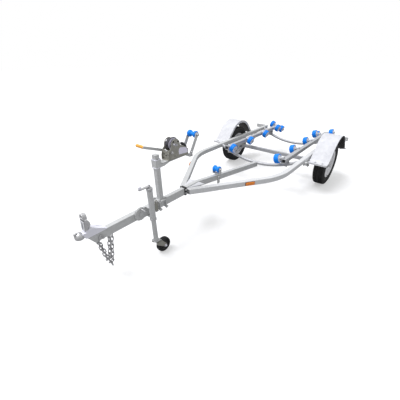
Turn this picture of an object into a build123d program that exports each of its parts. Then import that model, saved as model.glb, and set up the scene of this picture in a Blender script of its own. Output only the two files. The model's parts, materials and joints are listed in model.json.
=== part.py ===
from build123d import *
from math import atan, cos, degrees, hypot, radians, sin, tan
import os

os.makedirs("parts", exist_ok=True)

# A small galvanised boat trailer, in millimetres.  X runs forward to the coupling, Y to the left,
# Z up from the ground.  X = 0 is the middle of the overall length, Y = 0 the middle of the track.

# ---------------------------------------------------------------- driving sizes
# overall
axle_to_nose = 3040.0           # wheel axle forward to the tip of the coupling
axle_to_tail = 956.0            # wheel axle back to the last roller
frame_top = 468.0               # top of the drawbar
running_gap = 0.5               # turning or sliding fit, on the radius
side_gap = 1.0                  # end play beside a turning piece
seat_gap = 0.3                  # between curved pieces that are clamped together
swing_gap = 5.0                 # beside a piece that swings past

# drawbar and keel beam (rectangular tube)
drawbar_width = 42.0
drawbar_height = 70.0
drawbar_wall = 4.0
drawbar_front = 2967.0          # ahead of the axle
drawbar_rear = 1802.0
drawbar_nose_cut = 45.0         # how far the slanting front end leans back at the bottom
keel_height = 60.0
keel_rear = 572.0               # ahead of the axle
keel_drop = 168.0               # how far the keel beam falls to the front cross tube

# side rails
rail_size = 54.0
rail_wall = 3.0
rail_track = 1174.0             # between the two rails' centre lines
rail_apex = 1975.0              # front ends, ahead of the axle
rail_corner = 1132.0            # where the centre lines turn in, ahead of the axle
rail_drop = 10.0                # top of the rails below the top of the drawbar
rail_rear = -800.0
rail_splay = 33.2               # degrees
rail_bend = 600.0               # centre-line radius
tube_corner = 6.0               # outer corner radius of the square tubes
strap_run = 24.0                # strap round the drawbar, ahead of the rails
strap_sheet = 6.0

# cross tubes, bowed down to clear the keel
cross_tube_d = 42.4
cross_tube_wall = 3.2
front_cross = 588.0             # ahead of the axle
front_cross_sag = 134.0
rear_cross = -662.0
rear_cross_sag = 157.0

# roller beams
beam_size = 52.0
beam_wall = 3.0
beam_track = 841.0
beam_top = 466.0
beam_front = 690.0
beam_rear = -925.0

# road wheels
tyre_d = 562.0
tyre_width = 145.0
rim_seat_d = 330.0
rim_flange_d = 358.0
rim_width = 118.0
wheel_gap = 47.5                # outside of a rail to the tyre
rim_well_depth = 16.0
rim_sheet = 5.0
disc_out = 14.0                 # the wheel disc's face outboard of the wheel's middle
vent_d = 26.0
vent_ring_d = 224.0
vent_count = 12
hub_d = 118.0
hub_back = 44.0                 # inboard end of the hub, from the wheel's middle
hub_bore_end = 44.0
hub_cap_sheet = 8.0
stub_d = 30.0

# axle and leaf springs
axle_size = 45.0
axle_drop = 2.0                 # stub above the middle of the axle beam
axle_wall = 5.0
plate_gap = 12.0                # spring clamp to the plate that carries the stub
drop_plate = 10.0
spring_width = 45.0
spring_span = 680.0
spring_leaf = 7.0
spring_eye_d = 26.0
eye_drop = 74.0                 # below the rail
hanger_plate = 5.0
hanger_length = 40.0
clamp_sheet = 8.0
clamp_bolt_d = 10.0

# mudguards
guard_sheet = 3.0
guard_lip = 30.0                # depth of the turned-down inboard edge
guard_bend = 100.0
guard_foot_bend = 12.0
guard_gap = 16.0                # outside of a rail to the guard's inboard edge
guard_reach = 118.0             # wheel's middle to the guard's outer edge
guard_top = 665.0
guard_top_half = 139.0
guard_foot_half = 366.0
guard_flange = 70.0             # run of the flat flanges on the stays
stay_width = 40.0
stay_sheet = 6.0
stay_inset = 30.0               # the stay ends this far inside the guard's outer edge

# coupling
ball_d = 50.0
socket_d = 67.0
coupling_ball = 3006.0          # ball centre ahead of the axle
ball_rise = 24.0                # ball centre above the top of the drawbar
coupling_width = 60.0
coupling_rear = 2816.0
coupling_rise = 64.0            # shoulder above the drawbar
socket_cut = 12.0               # the socket's rim below the ball's middle
nose_lug = 25.0
nose_lug_height = 15.0
handle_x = 2945.0
handle_rise = 184.0             # top of the handle above the drawbar
handle_width = 47.0
handle_depth = 28.0

# jockey wheel
jockey_x = 2446.0               # tube centre ahead of the axle
jockey_y = 89.0
jockey_outer_d = 48.0
jockey_inner_d = 41.0
jockey_tube_top = 676.0
jockey_tube_bottom = 375.0
jockey_wheel_d = 140.0
jockey_wheel_width = 50.0
jockey_hub_d = 48.0
jockey_tread = 14.0             # thickness of the rubber
jockey_dish = 8.0               # how far each face is dished
jockey_trail = 73.0
jockey_pivot_x = 2521.0
jockey_pivot_rise = 12.0        # pivot above the drawbar's middle
jockey_disc_d = 118.0
jockey_disc_sheet = 6.0
jockey_pin_d = 24.0
jockey_rib_gap = 80.0           # between the two ribs that carry the tube
jockey_travel = 160.0
jockey_leg_wall = 3.0
jockey_axle_d = 16.0
fork_gap = 5.5                  # wheel to fork
fork_bridge = 14.0
fork_sheet = 4.0
fork_pin_d = 24.0
fork_pin_length = 34.0
crank_boss_d = 24.0
crank_boss_height = 18.0
crank_bar_sheet = 8.0
jockey_crank_arm = 88.0
jockey_knob_d = 26.0
jockey_knob_height = 40.0

# winch post and winch
post_size = 44.0
post_x = 2281.0
post_top = 879.0
post_wall = 3.0
post_corner = 5.0
base_size = 96.0
base_sheet = 8.0
base_bolt_x = 70.0
base_bolt_d = 12.0
sleeve_wall = 6.0
sleeve_bottom = 768.0
sleeve_top = 843.0
winch_floor = 803.0             # top of the winch platform
platform_rear = 1938.0
platform_width = 66.0
platform_sheet = 6.0
platform_flange = 30.0
winch_x = 2095.0                # drum shaft
winch_drum_rise = 118.0         # drum shaft above the platform
winch_half = 42.0               # centre line to the middle of a side plate
winch_plate = 4.0
winch_front = 2185.0
winch_rear = 1948.0
winch_head = 50.0               # radius of a side plate's rounded top
winch_front_height = 84.0       # front edge of the side plates, and the plate between them
winch_front_lean = 15.0
winch_neck = 70.0               # drum shaft back to where the plates narrow
winch_tail_height = 57.0
drum_core_d = 44.0
drum_shaft_d = 16.0
drum_gear_sheet = 8.0
drum_flange_sheet = 4.0
gear_ratio = 4.0
strap_width = 50.0
strap_offset = -6.0             # middle of the winding, from the centre line
winding_d = 100.0
crank_shaft_d = 16.0
crank_sheet = 6.0
crank_bar_width = 22.0
grip_pin_d = 12.0
pinion_x = 2142.0
pinion_rise = 63.0              # crank shaft above the platform
crank_offset = 15.0             # side plate to the crank arm
crank_arm = 206.0
crank_tilt = 20.0               # degrees above level, pointing forward
crank_grip = 98.0
crank_grip_d = 32.0

# bow roller, keel roller and hull rollers
bow_x = 1834.0
bow_z = 950.0
bow_roller_length = 93.0
bow_roller_d = 62.0
bow_roller_waist = 38.0
keel_roller_x = 1462.0
keel_roller_z = 486.0
keel_roller_length = 80.0
keel_roller_d = 70.0
keel_roller_waist = 54.0
yoke_sheet = 6.0
yoke_width = 40.0
yoke_stem = 118.0               # how far the stem hangs below the yoke's floor
bow_arm_sheet = 6.0
hull_roller_d = 118.0
hull_roller_width = 60.0
hull_roller_inset = 90.5        # middle of the front rollers inboard of the beam's centre line
hull_roller_z = 446.0
roller_tilt = 18.0              # degrees, follows the hull's vee
roller_pin_d = 18.0
rear_outer_offset = 89.5        # middle of the last rollers outboard of the beam's centre line
rear_outer_z = 468.0
tail_plate = 60.0               # length of the bracket that carries a rear outer roller
rocker_pivot = -780.0           # ahead of the axle
rocker_z = 440.0
rocker_roller_inset = 102.5     # middle of a rocker's rollers inboard of the beam's centre line
rocker_half = 80.0              # pivot to each roller, along the rocker
rocker_drop = 22.0              # the rear roller hangs this much lower than level
rocker_sheet = 8.0
rocker_depth = 44.0
rocker_pin_d = 16.0

# safety chains
chain_wire = 8.0
chain_link = 52.0               # outside length of a link
chain_width = 30.0
chain_foot = 12.0               # half the distance between the two strands' lowest bars
chain_seat = 2.3                # lowest bars above the middle of the lowest link
lug_sheet = 6.0
# middle ahead of the axle, half the distance between the two lugs, Y
CHAINS = ((2860.0, 44.0, 16.0), (2830.0, 58.0, -16.0))
CHAIN_LINKS = (5, 7)            # links in each strand, an odd number

# lamps
marker_x = 1433.0               # ahead of the axle
marker_length = 104.0
marker_height = 38.0
marker_depth = 14.0
marker_corner = 6.0
lamp_offset = 110.0             # lamp's middle outboard of the rail
lamp_width = 120.0
lamp_height = 60.0
bracket_sheet = 4.0
plate_bolt_spacing = 80.0
plate_bolt_d = 8.0

# ---------------------------------------------------------------- derived places
x_axle = (axle_to_tail - axle_to_nose) / 2


def fore(distance):
    """X of a place that lies this far ahead of the axle."""
    return x_axle + distance


drawbar_z = frame_top - drawbar_height / 2
drawbar_bottom = frame_top - drawbar_height
rail_top = frame_top - rail_drop
rail_z = rail_top - rail_size / 2
rail_bottom = rail_top - rail_size
rail_y = rail_track / 2
rail_inner = rail_y - rail_size / 2
rail_outer = rail_y + rail_size / 2
beam_y = beam_track / 2
hull_roller_y = beam_y - hull_roller_inset
rocker_roller_y = beam_y - rocker_roller_inset
rear_outer_y = beam_y + rear_outer_offset
beam_z = beam_top - beam_size / 2
beam_bottom = beam_top - beam_size
guard_lip_half = guard_foot_half + guard_flange
guard_flange_z = rail_bottom                            # the guards sit on stays under the rails
coupling_height = frame_top + ball_rise
handle_top = frame_top + handle_rise
winch_drum_z = winch_floor + winch_drum_rise
pinion_z = winch_floor + pinion_rise
wheel_r = tyre_d / 2
wheel_y = rail_outer + wheel_gap + tyre_width / 2
guard_inner = rail_outer + guard_gap
guard_outer = wheel_y + guard_reach
axle_z = wheel_r - axle_drop
axle_top = axle_z + axle_size / 2
bolt_room = clamp_bolt_d + 2                            # spring or axle to the far side of a clamp bolt
clamp_width = spring_width + 2 * bolt_room
axle_half = rail_y + clamp_width / 2 + plate_gap        # centre to the inside of the stub plate
cross_r = cross_tube_d / 2
keel_slope = degrees(atan(keel_drop / (drawbar_rear - keel_rear)))
roller_r = hull_roller_d / 2
SIDES = (("left", 1), ("right", -1))


def cross_arc_radius(sag):
    """Radius of a cross tube's bow, from its half span and its sag."""
    return (rail_inner ** 2 + sag ** 2) / (2 * sag)


def cross_height(sag, y):
    """Centre height of a bowed cross tube at a distance y from the middle."""
    radius = cross_arc_radius(sag)
    return rail_z - sag + radius - (radius ** 2 - y ** 2) ** 0.5


def save(part, name):
    """Label one finished piece and write its STEP file."""
    part.label = name
    export_step(part, "parts/" + name + ".step")


# ---------------------------------------------------------------- drawbar and keel beam
with BuildPart() as drawbar:
    with BuildSketch(Plane.YZ.offset(fore(drawbar_rear))):
        with Locations((0, drawbar_z)):
            Rectangle(drawbar_width, drawbar_height)
            Rectangle(drawbar_width - 2 * drawbar_wall, drawbar_height - 2 * drawbar_wall, mode=Mode.SUBTRACT)
    extrude(amount=drawbar_front - drawbar_rear)
    nose = [
        (fore(drawbar_front) - drawbar_nose_cut, drawbar_bottom),
        (fore(drawbar_front), frame_top),
        (fore(drawbar_front) + drawbar_height, frame_top),
        (fore(drawbar_front) + drawbar_height, drawbar_bottom),
    ]
    with BuildSketch(Plane.XZ):
        with BuildLine():
            Polyline(*nose, close=True)
        make_face()
    extrude(amount=drawbar_width, both=True, mode=Mode.SUBTRACT)
save(drawbar.part, "drawbar")

keel_plane = Plane(
    origin=(fore(drawbar_rear), 0, frame_top - keel_height / 2 / cos(radians(keel_slope))),
    x_dir=(0, 1, 0),
    z_dir=(-cos(radians(keel_slope)), 0, -sin(radians(keel_slope))),
)
keel_run = (drawbar_rear - keel_rear) / cos(radians(keel_slope))
cope_r = cross_r + seat_gap
with BuildPart() as keel_beam:
    with BuildSketch(keel_plane.offset(-drawbar_height)):
        Rectangle(drawbar_width, keel_height)
        Rectangle(drawbar_width - 2 * rail_wall, keel_height - 2 * rail_wall, mode=Mode.SUBTRACT)
    extrude(amount=keel_run + 2 * drawbar_height)
    split(bisect_by=Plane.YZ.offset(fore(drawbar_rear)), keep=Keep.BOTTOM)
    split(bisect_by=Plane.YZ.offset(fore(keel_rear)), keep=Keep.TOP)
    with BuildSketch(Plane.XZ.offset(-drawbar_width)):
        with Locations((fore(front_cross), cross_height(front_cross_sag, 0))):
            Circle(cope_r)
    extrude(amount=2 * drawbar_width, mode=Mode.SUBTRACT)
save(keel_beam.part, "keel_beam")

# ---------------------------------------------------------------- side rails
splay = radians(rail_splay)
bar_side = drawbar_width / 2
lead = rail_apex + rail_size                      # spare length that the front cuts remove


def rail_centre(ahead):
    """Distance of a splayed rail's centre line from the middle."""
    return rail_y - (ahead - rail_corner) * tan(splay)


for side, sign in SIDES:
    front_point = (fore(lead), sign * rail_centre(lead), rail_z)
    corner_point = (fore(rail_corner), sign * rail_y, rail_z)
    rear_point = (fore(rail_rear), sign * rail_y, rail_z)
    with BuildPart() as rail:
        with BuildLine() as rail_path:
            FilletPolyline(front_point, corner_point, rear_point, radius=rail_bend)
        with BuildSketch(Plane(origin=rear_point, x_dir=(0, 1, 0), z_dir=(1, 0, 0))):
            RectangleRounded(rail_size, rail_size, tube_corner)
            RectangleRounded(
                rail_size - 2 * rail_wall, rail_size - 2 * rail_wall, tube_corner - rail_wall, mode=Mode.SUBTRACT
            )
        sweep(path=rail_path.line)
        split(bisect_by=Plane.YZ.offset(fore(rail_apex)), keep=Keep.BOTTOM)
        split(bisect_by=Plane.XZ.offset(-sign * bar_side), keep=Keep.BOTTOM if sign > 0 else Keep.TOP)
    save(rail.part, "rail_" + side)

with BuildPart() as apex_strap:
    with BuildSketch(Plane.YZ.offset(fore(rail_apex))):
        with Locations((0, drawbar_z)):
            Rectangle(drawbar_width + 2 * strap_sheet, drawbar_height + 2 * strap_sheet)
            Rectangle(drawbar_width, drawbar_height, mode=Mode.SUBTRACT)
    extrude(amount=strap_run)
save(apex_strap.part, "apex_strap")

# ---------------------------------------------------------------- bowed cross tubes
# name, distance ahead of the axle, sag
CROSS_TUBES = (("front_cross_tube", front_cross, front_cross_sag), ("rear_cross_tube", rear_cross, rear_cross_sag))
for name, ahead, sag in CROSS_TUBES:
    radius = cross_arc_radius(sag)
    over = rail_inner + rail_size / 2
    with BuildPart() as cross_tube:
        with BuildLine(Plane.YZ.offset(fore(ahead))) as bow:
            ThreePointArc((-over, cross_height(sag, over)), (0, rail_z - sag), (over, cross_height(sag, over)))
        with BuildSketch(Plane(origin=bow.line @ 0, z_dir=bow.line % 0)):
            Circle(cross_r)
            Circle(cross_r - cross_tube_wall, mode=Mode.SUBTRACT)
        sweep(path=bow.line)
        split(bisect_by=Plane.XZ.offset(rail_inner), keep=Keep.BOTTOM)
        split(bisect_by=Plane.XZ.offset(-rail_inner), keep=Keep.TOP)
    save(cross_tube.part, name)

# ---------------------------------------------------------------- roller beams
# Fixed hull rollers: distance ahead of the axle.
FIXED_ROLLERS = (("a", 657.0), ("b", 190.0), ("c", -285.0))
saddle_sheet = 5.0
saddle_length = cross_tube_d + 2 * seat_gap + 2 * saddle_sheet
pin_r = roller_pin_d / 2
collar_r = 17.0
tilt = radians(roller_tilt)


def roller_axis(sign):
    """Direction of a hull roller's pin, pointing outboard and up."""
    return (0, sign * cos(tilt), sin(tilt))


def pin_plane(ahead, y, z, sign, along):
    """Plane across a roller's pin, at a distance along it from the roller's middle."""
    axis = roller_axis(sign)
    return Plane(origin=(fore(ahead), sign * y + along * axis[1], z + along * axis[2]), z_dir=axis)


half_width = hull_roller_width / 2
head_sheet = 5.0
for side, sign in SIDES:
    with BuildPart() as beam:
        with BuildSketch(Plane.YZ.offset(fore(beam_rear))):
            with Locations((sign * beam_y, beam_z)):
                RectangleRounded(beam_size, beam_size, tube_corner)
                RectangleRounded(
                    beam_size - 2 * beam_wall, beam_size - 2 * beam_wall, tube_corner - beam_wall, mode=Mode.SUBTRACT
                )
        extrude(amount=beam_front - beam_rear)
        for _, ahead, sag in CROSS_TUBES:
            tube_z = cross_height(sag, beam_y - beam_size / 2)
            saddle_bottom = tube_z - cross_r / 2
            with BuildSketch(Plane.XY.offset(beam_bottom)):
                with Locations((fore(ahead), sign * beam_y)):
                    Rectangle(saddle_length, beam_size)
            extrude(amount=-(beam_bottom - saddle_bottom))
            with BuildSketch(Plane.XZ.offset(-sign * beam_y)):
                with Locations((fore(ahead), saddle_bottom)):
                    Rectangle(cross_tube_d + 2 * seat_gap, 2 * (beam_bottom - saddle_bottom - saddle_sheet))
            extrude(amount=beam_size, both=True, mode=Mode.SUBTRACT)
        for _, ahead in FIXED_ROLLERS:
            inner_end = half_width + side_gap
            with BuildSketch(pin_plane(ahead, hull_roller_y, hull_roller_z, sign, -inner_end - head_sheet)):
                Circle(pin_r)
            extrude(amount=inner_end + head_sheet + beam_y - hull_roller_y)
            with BuildSketch(pin_plane(ahead, hull_roller_y, hull_roller_z, sign, -inner_end - head_sheet)):
                Circle(collar_r)
            extrude(amount=head_sheet)
            with BuildSketch(pin_plane(ahead, hull_roller_y, hull_roller_z, sign, inner_end)):
                Circle(collar_r)
            extrude(amount=beam_y - hull_roller_y - inner_end)
        pin_end = swing_gap + rocker_sheet + side_gap
        with BuildSketch(Plane.XZ.offset(-sign * (beam_y - beam_size / 2))):
            with Locations((fore(rocker_pivot), rocker_z)):
                Circle(rocker_pin_d / 2)
        extrude(amount=sign * (pin_end + head_sheet))
        with BuildSketch(Plane.XZ.offset(-sign * (beam_y - beam_size / 2 - pin_end))):
            with Locations((fore(rocker_pivot), rocker_z)):
                Circle(collar_r)
        extrude(amount=sign * head_sheet)
    save(beam.part, "roller_beam_" + side)


def hull_roller(name, ahead, y, z, sign):
    """One rubber roller on its tilted pin."""
    rim = half_width - 12
    with BuildPart() as roller:
        with BuildSketch(Plane.XY):
            with BuildLine():
                bore = pin_r + running_gap
                Polyline(
                    (bore, -half_width),
                    (roller_r - 20, -half_width),
                    (roller_r, -rim),
                    (roller_r, rim),
                    (roller_r - 20, half_width),
                    (bore, half_width),
                    close=True,
                )
            make_face()
        revolve(axis=Axis.Y)
    axis = roller_axis(sign)
    place = Plane(origin=(fore(ahead), sign * y, z), x_dir=(1, 0, 0), z_dir=(0, -axis[2], axis[1]))
    save(place.location * roller.part, name)


for side, sign in SIDES:
    for letter, ahead in FIXED_ROLLERS:
        hull_roller("roller_" + side + "_" + letter, ahead, hull_roller_y, hull_roller_z, sign)

# ---------------------------------------------------------------- rear rockers
rocker_angle = degrees(atan(rocker_drop / rocker_half))
rocker_face = beam_y - beam_size / 2 - swing_gap      # the rocker's outboard face
front_roller = (rocker_pivot + rocker_half, rocker_z + rocker_drop)
rear_roller = (rocker_pivot - rocker_half, rocker_z - rocker_drop)
for side, sign in SIDES:
    with BuildPart() as rocker:
        with BuildSketch(Plane.XZ.offset(-sign * (rocker_face - rocker_sheet / 2))):
            with Locations(Location((fore(rocker_pivot), rocker_z), rocker_angle)):
                SlotCenterToCenter(2 * rocker_half, rocker_depth)
            with Locations((fore(rocker_pivot), rocker_z)):
                Circle(rocker_pin_d / 2 + running_gap, mode=Mode.SUBTRACT)
        extrude(amount=rocker_sheet / 2, both=True)
        for ahead, z in (front_roller, rear_roller):
            inner_end = half_width + side_gap
            reach = (rocker_face - rocker_sheet / 2 - rocker_roller_y) / cos(tilt)
            with BuildSketch(pin_plane(ahead, rocker_roller_y, z, sign, -inner_end - head_sheet)):
                Circle(pin_r)
            extrude(amount=inner_end + head_sheet + reach)
            with BuildSketch(pin_plane(ahead, rocker_roller_y, z, sign, -inner_end - head_sheet)):
                Circle(collar_r)
            extrude(amount=head_sheet)
    save(rocker.part, "rear_rocker_" + side)
    hull_roller("roller_" + side + "_d", front_roller[0], rocker_roller_y, front_roller[1], sign)
    hull_roller("roller_" + side + "_e", rear_roller[0], rocker_roller_y, rear_roller[1], sign)

# ---------------------------------------------------------------- rear outer rollers, on brackets outside the beams
tail_roller = -(axle_to_tail - roller_r)               # ahead of the axle
arm_face = beam_y + beam_size / 2
with BuildPart() as tail_arms:
    for side, sign in SIDES:
        outer_end = half_width + side_gap
        reach = (rear_outer_y - arm_face - rocker_sheet / 2) / cos(tilt)
        with BuildSketch(Plane.XZ.offset(-sign * arm_face)):
            with Locations((fore(tail_roller), beam_z)):
                Rectangle(tail_plate, beam_size)
        extrude(amount=-sign * rocker_sheet)
        with BuildSketch(pin_plane(tail_roller, rear_outer_y, rear_outer_z, sign, -reach)):
            Circle(pin_r)
        extrude(amount=reach + outer_end + head_sheet)
        for start in (-outer_end - head_sheet, outer_end):
            with BuildSketch(pin_plane(tail_roller, rear_outer_y, rear_outer_z, sign, start)):
                Circle(collar_r)
            extrude(amount=head_sheet)
save(tail_arms.part, "tail_roller_arms")
for side, sign in SIDES:
    hull_roller("roller_" + side + "_f", tail_roller, rear_outer_y, rear_outer_z, sign)

# ---------------------------------------------------------------- axle
stub_end = wheel_y + hub_bore_end - side_gap
with BuildPart() as axle:
    with BuildSketch(Plane.XZ):
        with Locations((fore(0), axle_z)):
            Rectangle(axle_size, axle_size)
            Rectangle(axle_size - 2 * axle_wall, axle_size - 2 * axle_wall, mode=Mode.SUBTRACT)
    extrude(amount=axle_half, both=True)
    for side, sign in SIDES:
        with BuildSketch(Plane.XZ.offset(-sign * axle_half)):
            with Locations((fore(0), (axle_z + wheel_r) / 2)):
                Rectangle(axle_size + 10, axle_drop + axle_size + 6)
        extrude(amount=sign * drop_plate)
        with BuildSketch(Plane.XZ.offset(-sign * axle_half)):
            with Locations((fore(0), wheel_r)):
                Circle(stub_d / 2)
        extrude(amount=-sign * (stub_end - axle_half))
save(axle.part, "axle")

# ---------------------------------------------------------------- leaf springs, hangers and axle clamps
# leaf number from the top, share of the span
LEAVES = ((0, 1.0), (1, 0.72), (2, 0.46))
main_leaf = axle_top + (len(LEAVES) - 1) * spring_leaf  # underside of the top leaf at the axle
eye_z = rail_bottom - eye_drop
spring_rise = eye_z - main_leaf
leaf_radius = ((spring_span / 2) ** 2 + spring_rise ** 2) / (2 * spring_rise)
leaf_centre = main_leaf + leaf_radius
clamp_length = axle_size + 2 * bolt_room
clamp_bottom = axle_z - axle_size / 2 - clamp_sheet
clamp_top = main_leaf + spring_leaf + clamp_sheet
hanger_bottom = eye_z - spring_eye_d / 2 - 6
with BuildPart() as springs:
    for side, sign in SIDES:
        for step, share in LEAVES:
            outer_r = leaf_radius + step * spring_leaf
            with BuildSketch(Plane.XZ.offset(-sign * rail_y)):
                with Locations((fore(0), leaf_centre)):
                    Circle(outer_r)
                    Circle(outer_r - spring_leaf, mode=Mode.SUBTRACT)
                with Locations((fore(0), main_leaf)):
                    Rectangle(spring_span * share, 4 * spring_rise, mode=Mode.INTERSECT)
            extrude(amount=spring_width / 2, both=True)
        for end in (-1, 1):
            eye_x = fore(end * spring_span / 2)
            with BuildSketch(Plane.XZ.offset(-sign * rail_y)):
                with Locations((eye_x, eye_z)):
                    Circle(spring_eye_d / 2)
            extrude(amount=spring_width / 2, both=True)
            for face in (-1, 1):
                with BuildSketch(Plane.XZ.offset(-(sign * rail_y + face * spring_width / 2))):
                    with Locations((eye_x, (rail_bottom + hanger_bottom) / 2)):
                        Rectangle(hanger_length, rail_bottom - hanger_bottom)
                extrude(amount=-face * hanger_plate)
            with BuildSketch(Plane.XY.offset(rail_bottom)):
                with Locations((eye_x, sign * rail_y)):
                    Rectangle(hanger_length, spring_width)
            extrude(amount=-hanger_plate)
        for level, sheet in ((clamp_bottom, clamp_sheet), (clamp_top, -clamp_sheet - 1)):
            with BuildSketch(Plane.XY.offset(level)):
                with Locations((fore(0), sign * rail_y)):
                    Rectangle(clamp_length, clamp_width)
            extrude(amount=sheet)
        with BuildSketch(Plane.XY.offset(clamp_bottom - clamp_sheet)):
            with Locations((fore(0), sign * rail_y)):
                with GridLocations(axle_size + bolt_room, spring_width + bolt_room, 2, 2):
                    Circle(clamp_bolt_d / 2)
        extrude(amount=clamp_top - clamp_bottom + 2 * clamp_sheet)
save(springs.part, "leaf_springs")

# ---------------------------------------------------------------- road wheels
rim_half = rim_width / 2
seat_r = rim_seat_d / 2
flange_r = rim_flange_d / 2
well_r = seat_r - rim_well_depth
hub_r = hub_d / 2
bore_r = stub_d / 2 + running_gap
cap_end = hub_bore_end + hub_cap_sheet
well_inner = well_r - rim_sheet
crown_r = vent_ring_d / 2 + 8                           # the disc turns flat inside the vents
seat_inner = seat_r - rim_sheet
# Outlines of the wheel: radius, distance outboard of the wheel's middle
BARREL = (
    (flange_r, -rim_half), (flange_r, -rim_half + rim_sheet), (seat_r, -rim_half + 10), (seat_r, -34),
    (well_r, -24), (well_r, 20), (seat_r, 30), (seat_r, rim_half - 10), (flange_r, rim_half - rim_sheet),
    (flange_r, rim_half), (seat_inner, rim_half), (seat_inner, 33), (well_inner, 23),
    (well_inner, -27), (seat_inner, -37), (seat_inner, -rim_half),
)
DISC = (
    (well_r - 1, disc_out - 6), (well_r - 1, disc_out - 6 - rim_sheet), (crown_r, disc_out - rim_sheet),
    (hub_r - 4, disc_out + 8 - rim_sheet), (hub_r - 4, disc_out + 8), (crown_r, disc_out),
)
HUB = (
    (bore_r, -hub_back), (hub_r - 16, -hub_back), (hub_r, 18 - hub_back), (hub_r, disc_out + 8),
    (40, disc_out + 9), (34, cap_end), (0, cap_end), (0, hub_bore_end), (bore_r, hub_bore_end),
)
bead_half = rim_half - 10 - seat_gap
tyre_half = tyre_width / 2
widest_r = (flange_r + wheel_r) / 2                     # where the sidewall bulges most
tread_half = tyre_half - 16
# Half outline of a tyre: radius, distance from the wheel's middle, from bead to tread
TYRE_HALF = (
    (seat_r + seat_gap, bead_half), (flange_r + 4, bead_half + 2), (flange_r + 16, tyre_half - 9),
    (widest_r - 14, tyre_half - 2), (widest_r, tyre_half), (widest_r + 18, tyre_half - 2),
    (wheel_r - 14, tread_half + 8), (wheel_r - 4, tread_half), (wheel_r, tread_half - 14),
)
TYRE = [(r, -y) for r, y in TYRE_HALF] + [(r, y) for r, y in reversed(TYRE_HALF)]
for side, sign in SIDES:
    wheel_place = Plane(origin=(fore(0), sign * wheel_y, wheel_r)).location
    with BuildPart() as rim:
        for outline in (BARREL, DISC, HUB):
            with BuildSketch(Plane.XY):
                with BuildLine():
                    Polyline(*[(r, sign * y) for r, y in outline], close=True)
                make_face()
            revolve(axis=Axis.Y)
        with BuildSketch(Plane.XZ):
            with PolarLocations(vent_ring_d / 2, vent_count):
                Circle(vent_d / 2)
        extrude(amount=rim_half, both=True, mode=Mode.SUBTRACT)
    save(wheel_place * rim.part, "rim_" + side)
    with BuildPart() as tyre:
        with BuildSketch(Plane.XY):
            with BuildLine():
                Polyline(*TYRE, close=True)
            make_face()
        revolve(axis=Axis.Y)
    save(wheel_place * tyre.part, "tyre_" + side)

# ---------------------------------------------------------------- mudguards and their stays
# Outline of a guard: distance ahead of the axle, height
GUARD = (
    (guard_lip_half, guard_flange_z), (guard_foot_half, guard_flange_z), (guard_top_half, guard_top),
    (-guard_top_half, guard_top), (-guard_foot_half, guard_flange_z), (-guard_lip_half, guard_flange_z),
)
bends = (guard_foot_bend, guard_bend, guard_bend, guard_foot_bend)
guard_half = (guard_outer - guard_inner) / 2
for side, sign in SIDES:
    with BuildPart() as guard:
        with BuildSketch(Plane.XZ.offset(-sign * (guard_inner + guard_half))):
            with BuildLine():
                FilletPolyline(*[(fore(x), z) for x, z in GUARD], radius=bends)
                offset(amount=guard_sheet, side=Side.RIGHT)
            make_face()
        extrude(amount=guard_half, both=True)
        with BuildSketch(Plane.XZ.offset(-sign * guard_inner)):
            with BuildLine():
                FilletPolyline(*[(fore(x), z) for x, z in GUARD[1:-1]], radius=bends[1:-1])
                offset(amount=guard_lip, side=Side.LEFT)
            make_face()
        extrude(amount=-sign * guard_sheet)
        split(bisect_by=Plane.XY.offset(guard_flange_z), keep=Keep.TOP)
    save(guard.part, "guard_" + side)

stay_x = (guard_foot_half + guard_lip_half) / 2
stay_reach = guard_outer - stay_inset - rail_inner
with BuildPart() as stays:
    for side, sign in SIDES:
        for end in (-1, 1):
            with BuildSketch(Plane.XY.offset(rail_bottom - stay_sheet)):
                with Locations((fore(end * stay_x), sign * (rail_inner + stay_reach / 2))):
                    Rectangle(stay_width, stay_reach)
            extrude(amount=stay_sheet)
save(stays.part, "guard_stays")

# ---------------------------------------------------------------- coupling
socket_r = socket_d / 2
ball_r = ball_d / 2
shoulder_top = frame_top + coupling_rise
with BuildPart() as coupling:
    with BuildSketch(Plane.XZ):
        with BuildLine():
            Polyline(
                (fore(coupling_rear), frame_top),
                (fore(coupling_rear), frame_top + 9),
                (fore(handle_x) - 26, shoulder_top),
                (fore(handle_x) + 16, shoulder_top),
                (fore(handle_x) + 22, coupling_height + 14),
                (fore(coupling_ball), coupling_height + socket_r - 2),
                (fore(coupling_ball), coupling_height),
                (fore(drawbar_front) + 6, frame_top),
                close=True,
            )
        make_face()
    extrude(amount=coupling_width / 2, both=True)
    with Locations((fore(coupling_ball), 0, coupling_height)):
        Sphere(socket_r)
    with BuildSketch(Plane.XY.offset(coupling_height + ball_r)):
        with Locations((fore(axle_to_nose) - nose_lug / 2, 0)):
            Rectangle(nose_lug, nose_lug)
    extrude(amount=nose_lug_height)
    with Locations((fore(coupling_ball), 0, coupling_height)):
        Sphere(ball_r + running_gap, mode=Mode.SUBTRACT)
    with BuildSketch(Plane.XY.offset(coupling_height)):
        with Locations((fore(coupling_ball), 0)):
            Circle(ball_r + running_gap)
    extrude(amount=-socket_r, mode=Mode.SUBTRACT)
    with BuildSketch(Plane.XY.offset(coupling_height - socket_cut)):
        with Locations((fore(coupling_ball), 0)):
            Circle(socket_r + running_gap)
    extrude(amount=-socket_r, mode=Mode.SUBTRACT)
save(coupling.part, "coupling")

handle_half = handle_width / 2
with BuildPart() as coupling_handle:
    with BuildSketch(Plane.YZ.offset(fore(handle_x) - handle_depth / 2)):
        with BuildLine():
            Polyline(
                (6 - handle_half, shoulder_top),
                (-handle_half, handle_top - handle_half),
                (10 - handle_half, handle_top),
                (handle_half - 10, handle_top),
                (handle_half, handle_top - handle_half),
                (handle_half - 6, shoulder_top),
                close=True,
            )
        make_face()
    extrude(amount=handle_depth)
save(coupling_handle.part, "coupling_handle")

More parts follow.
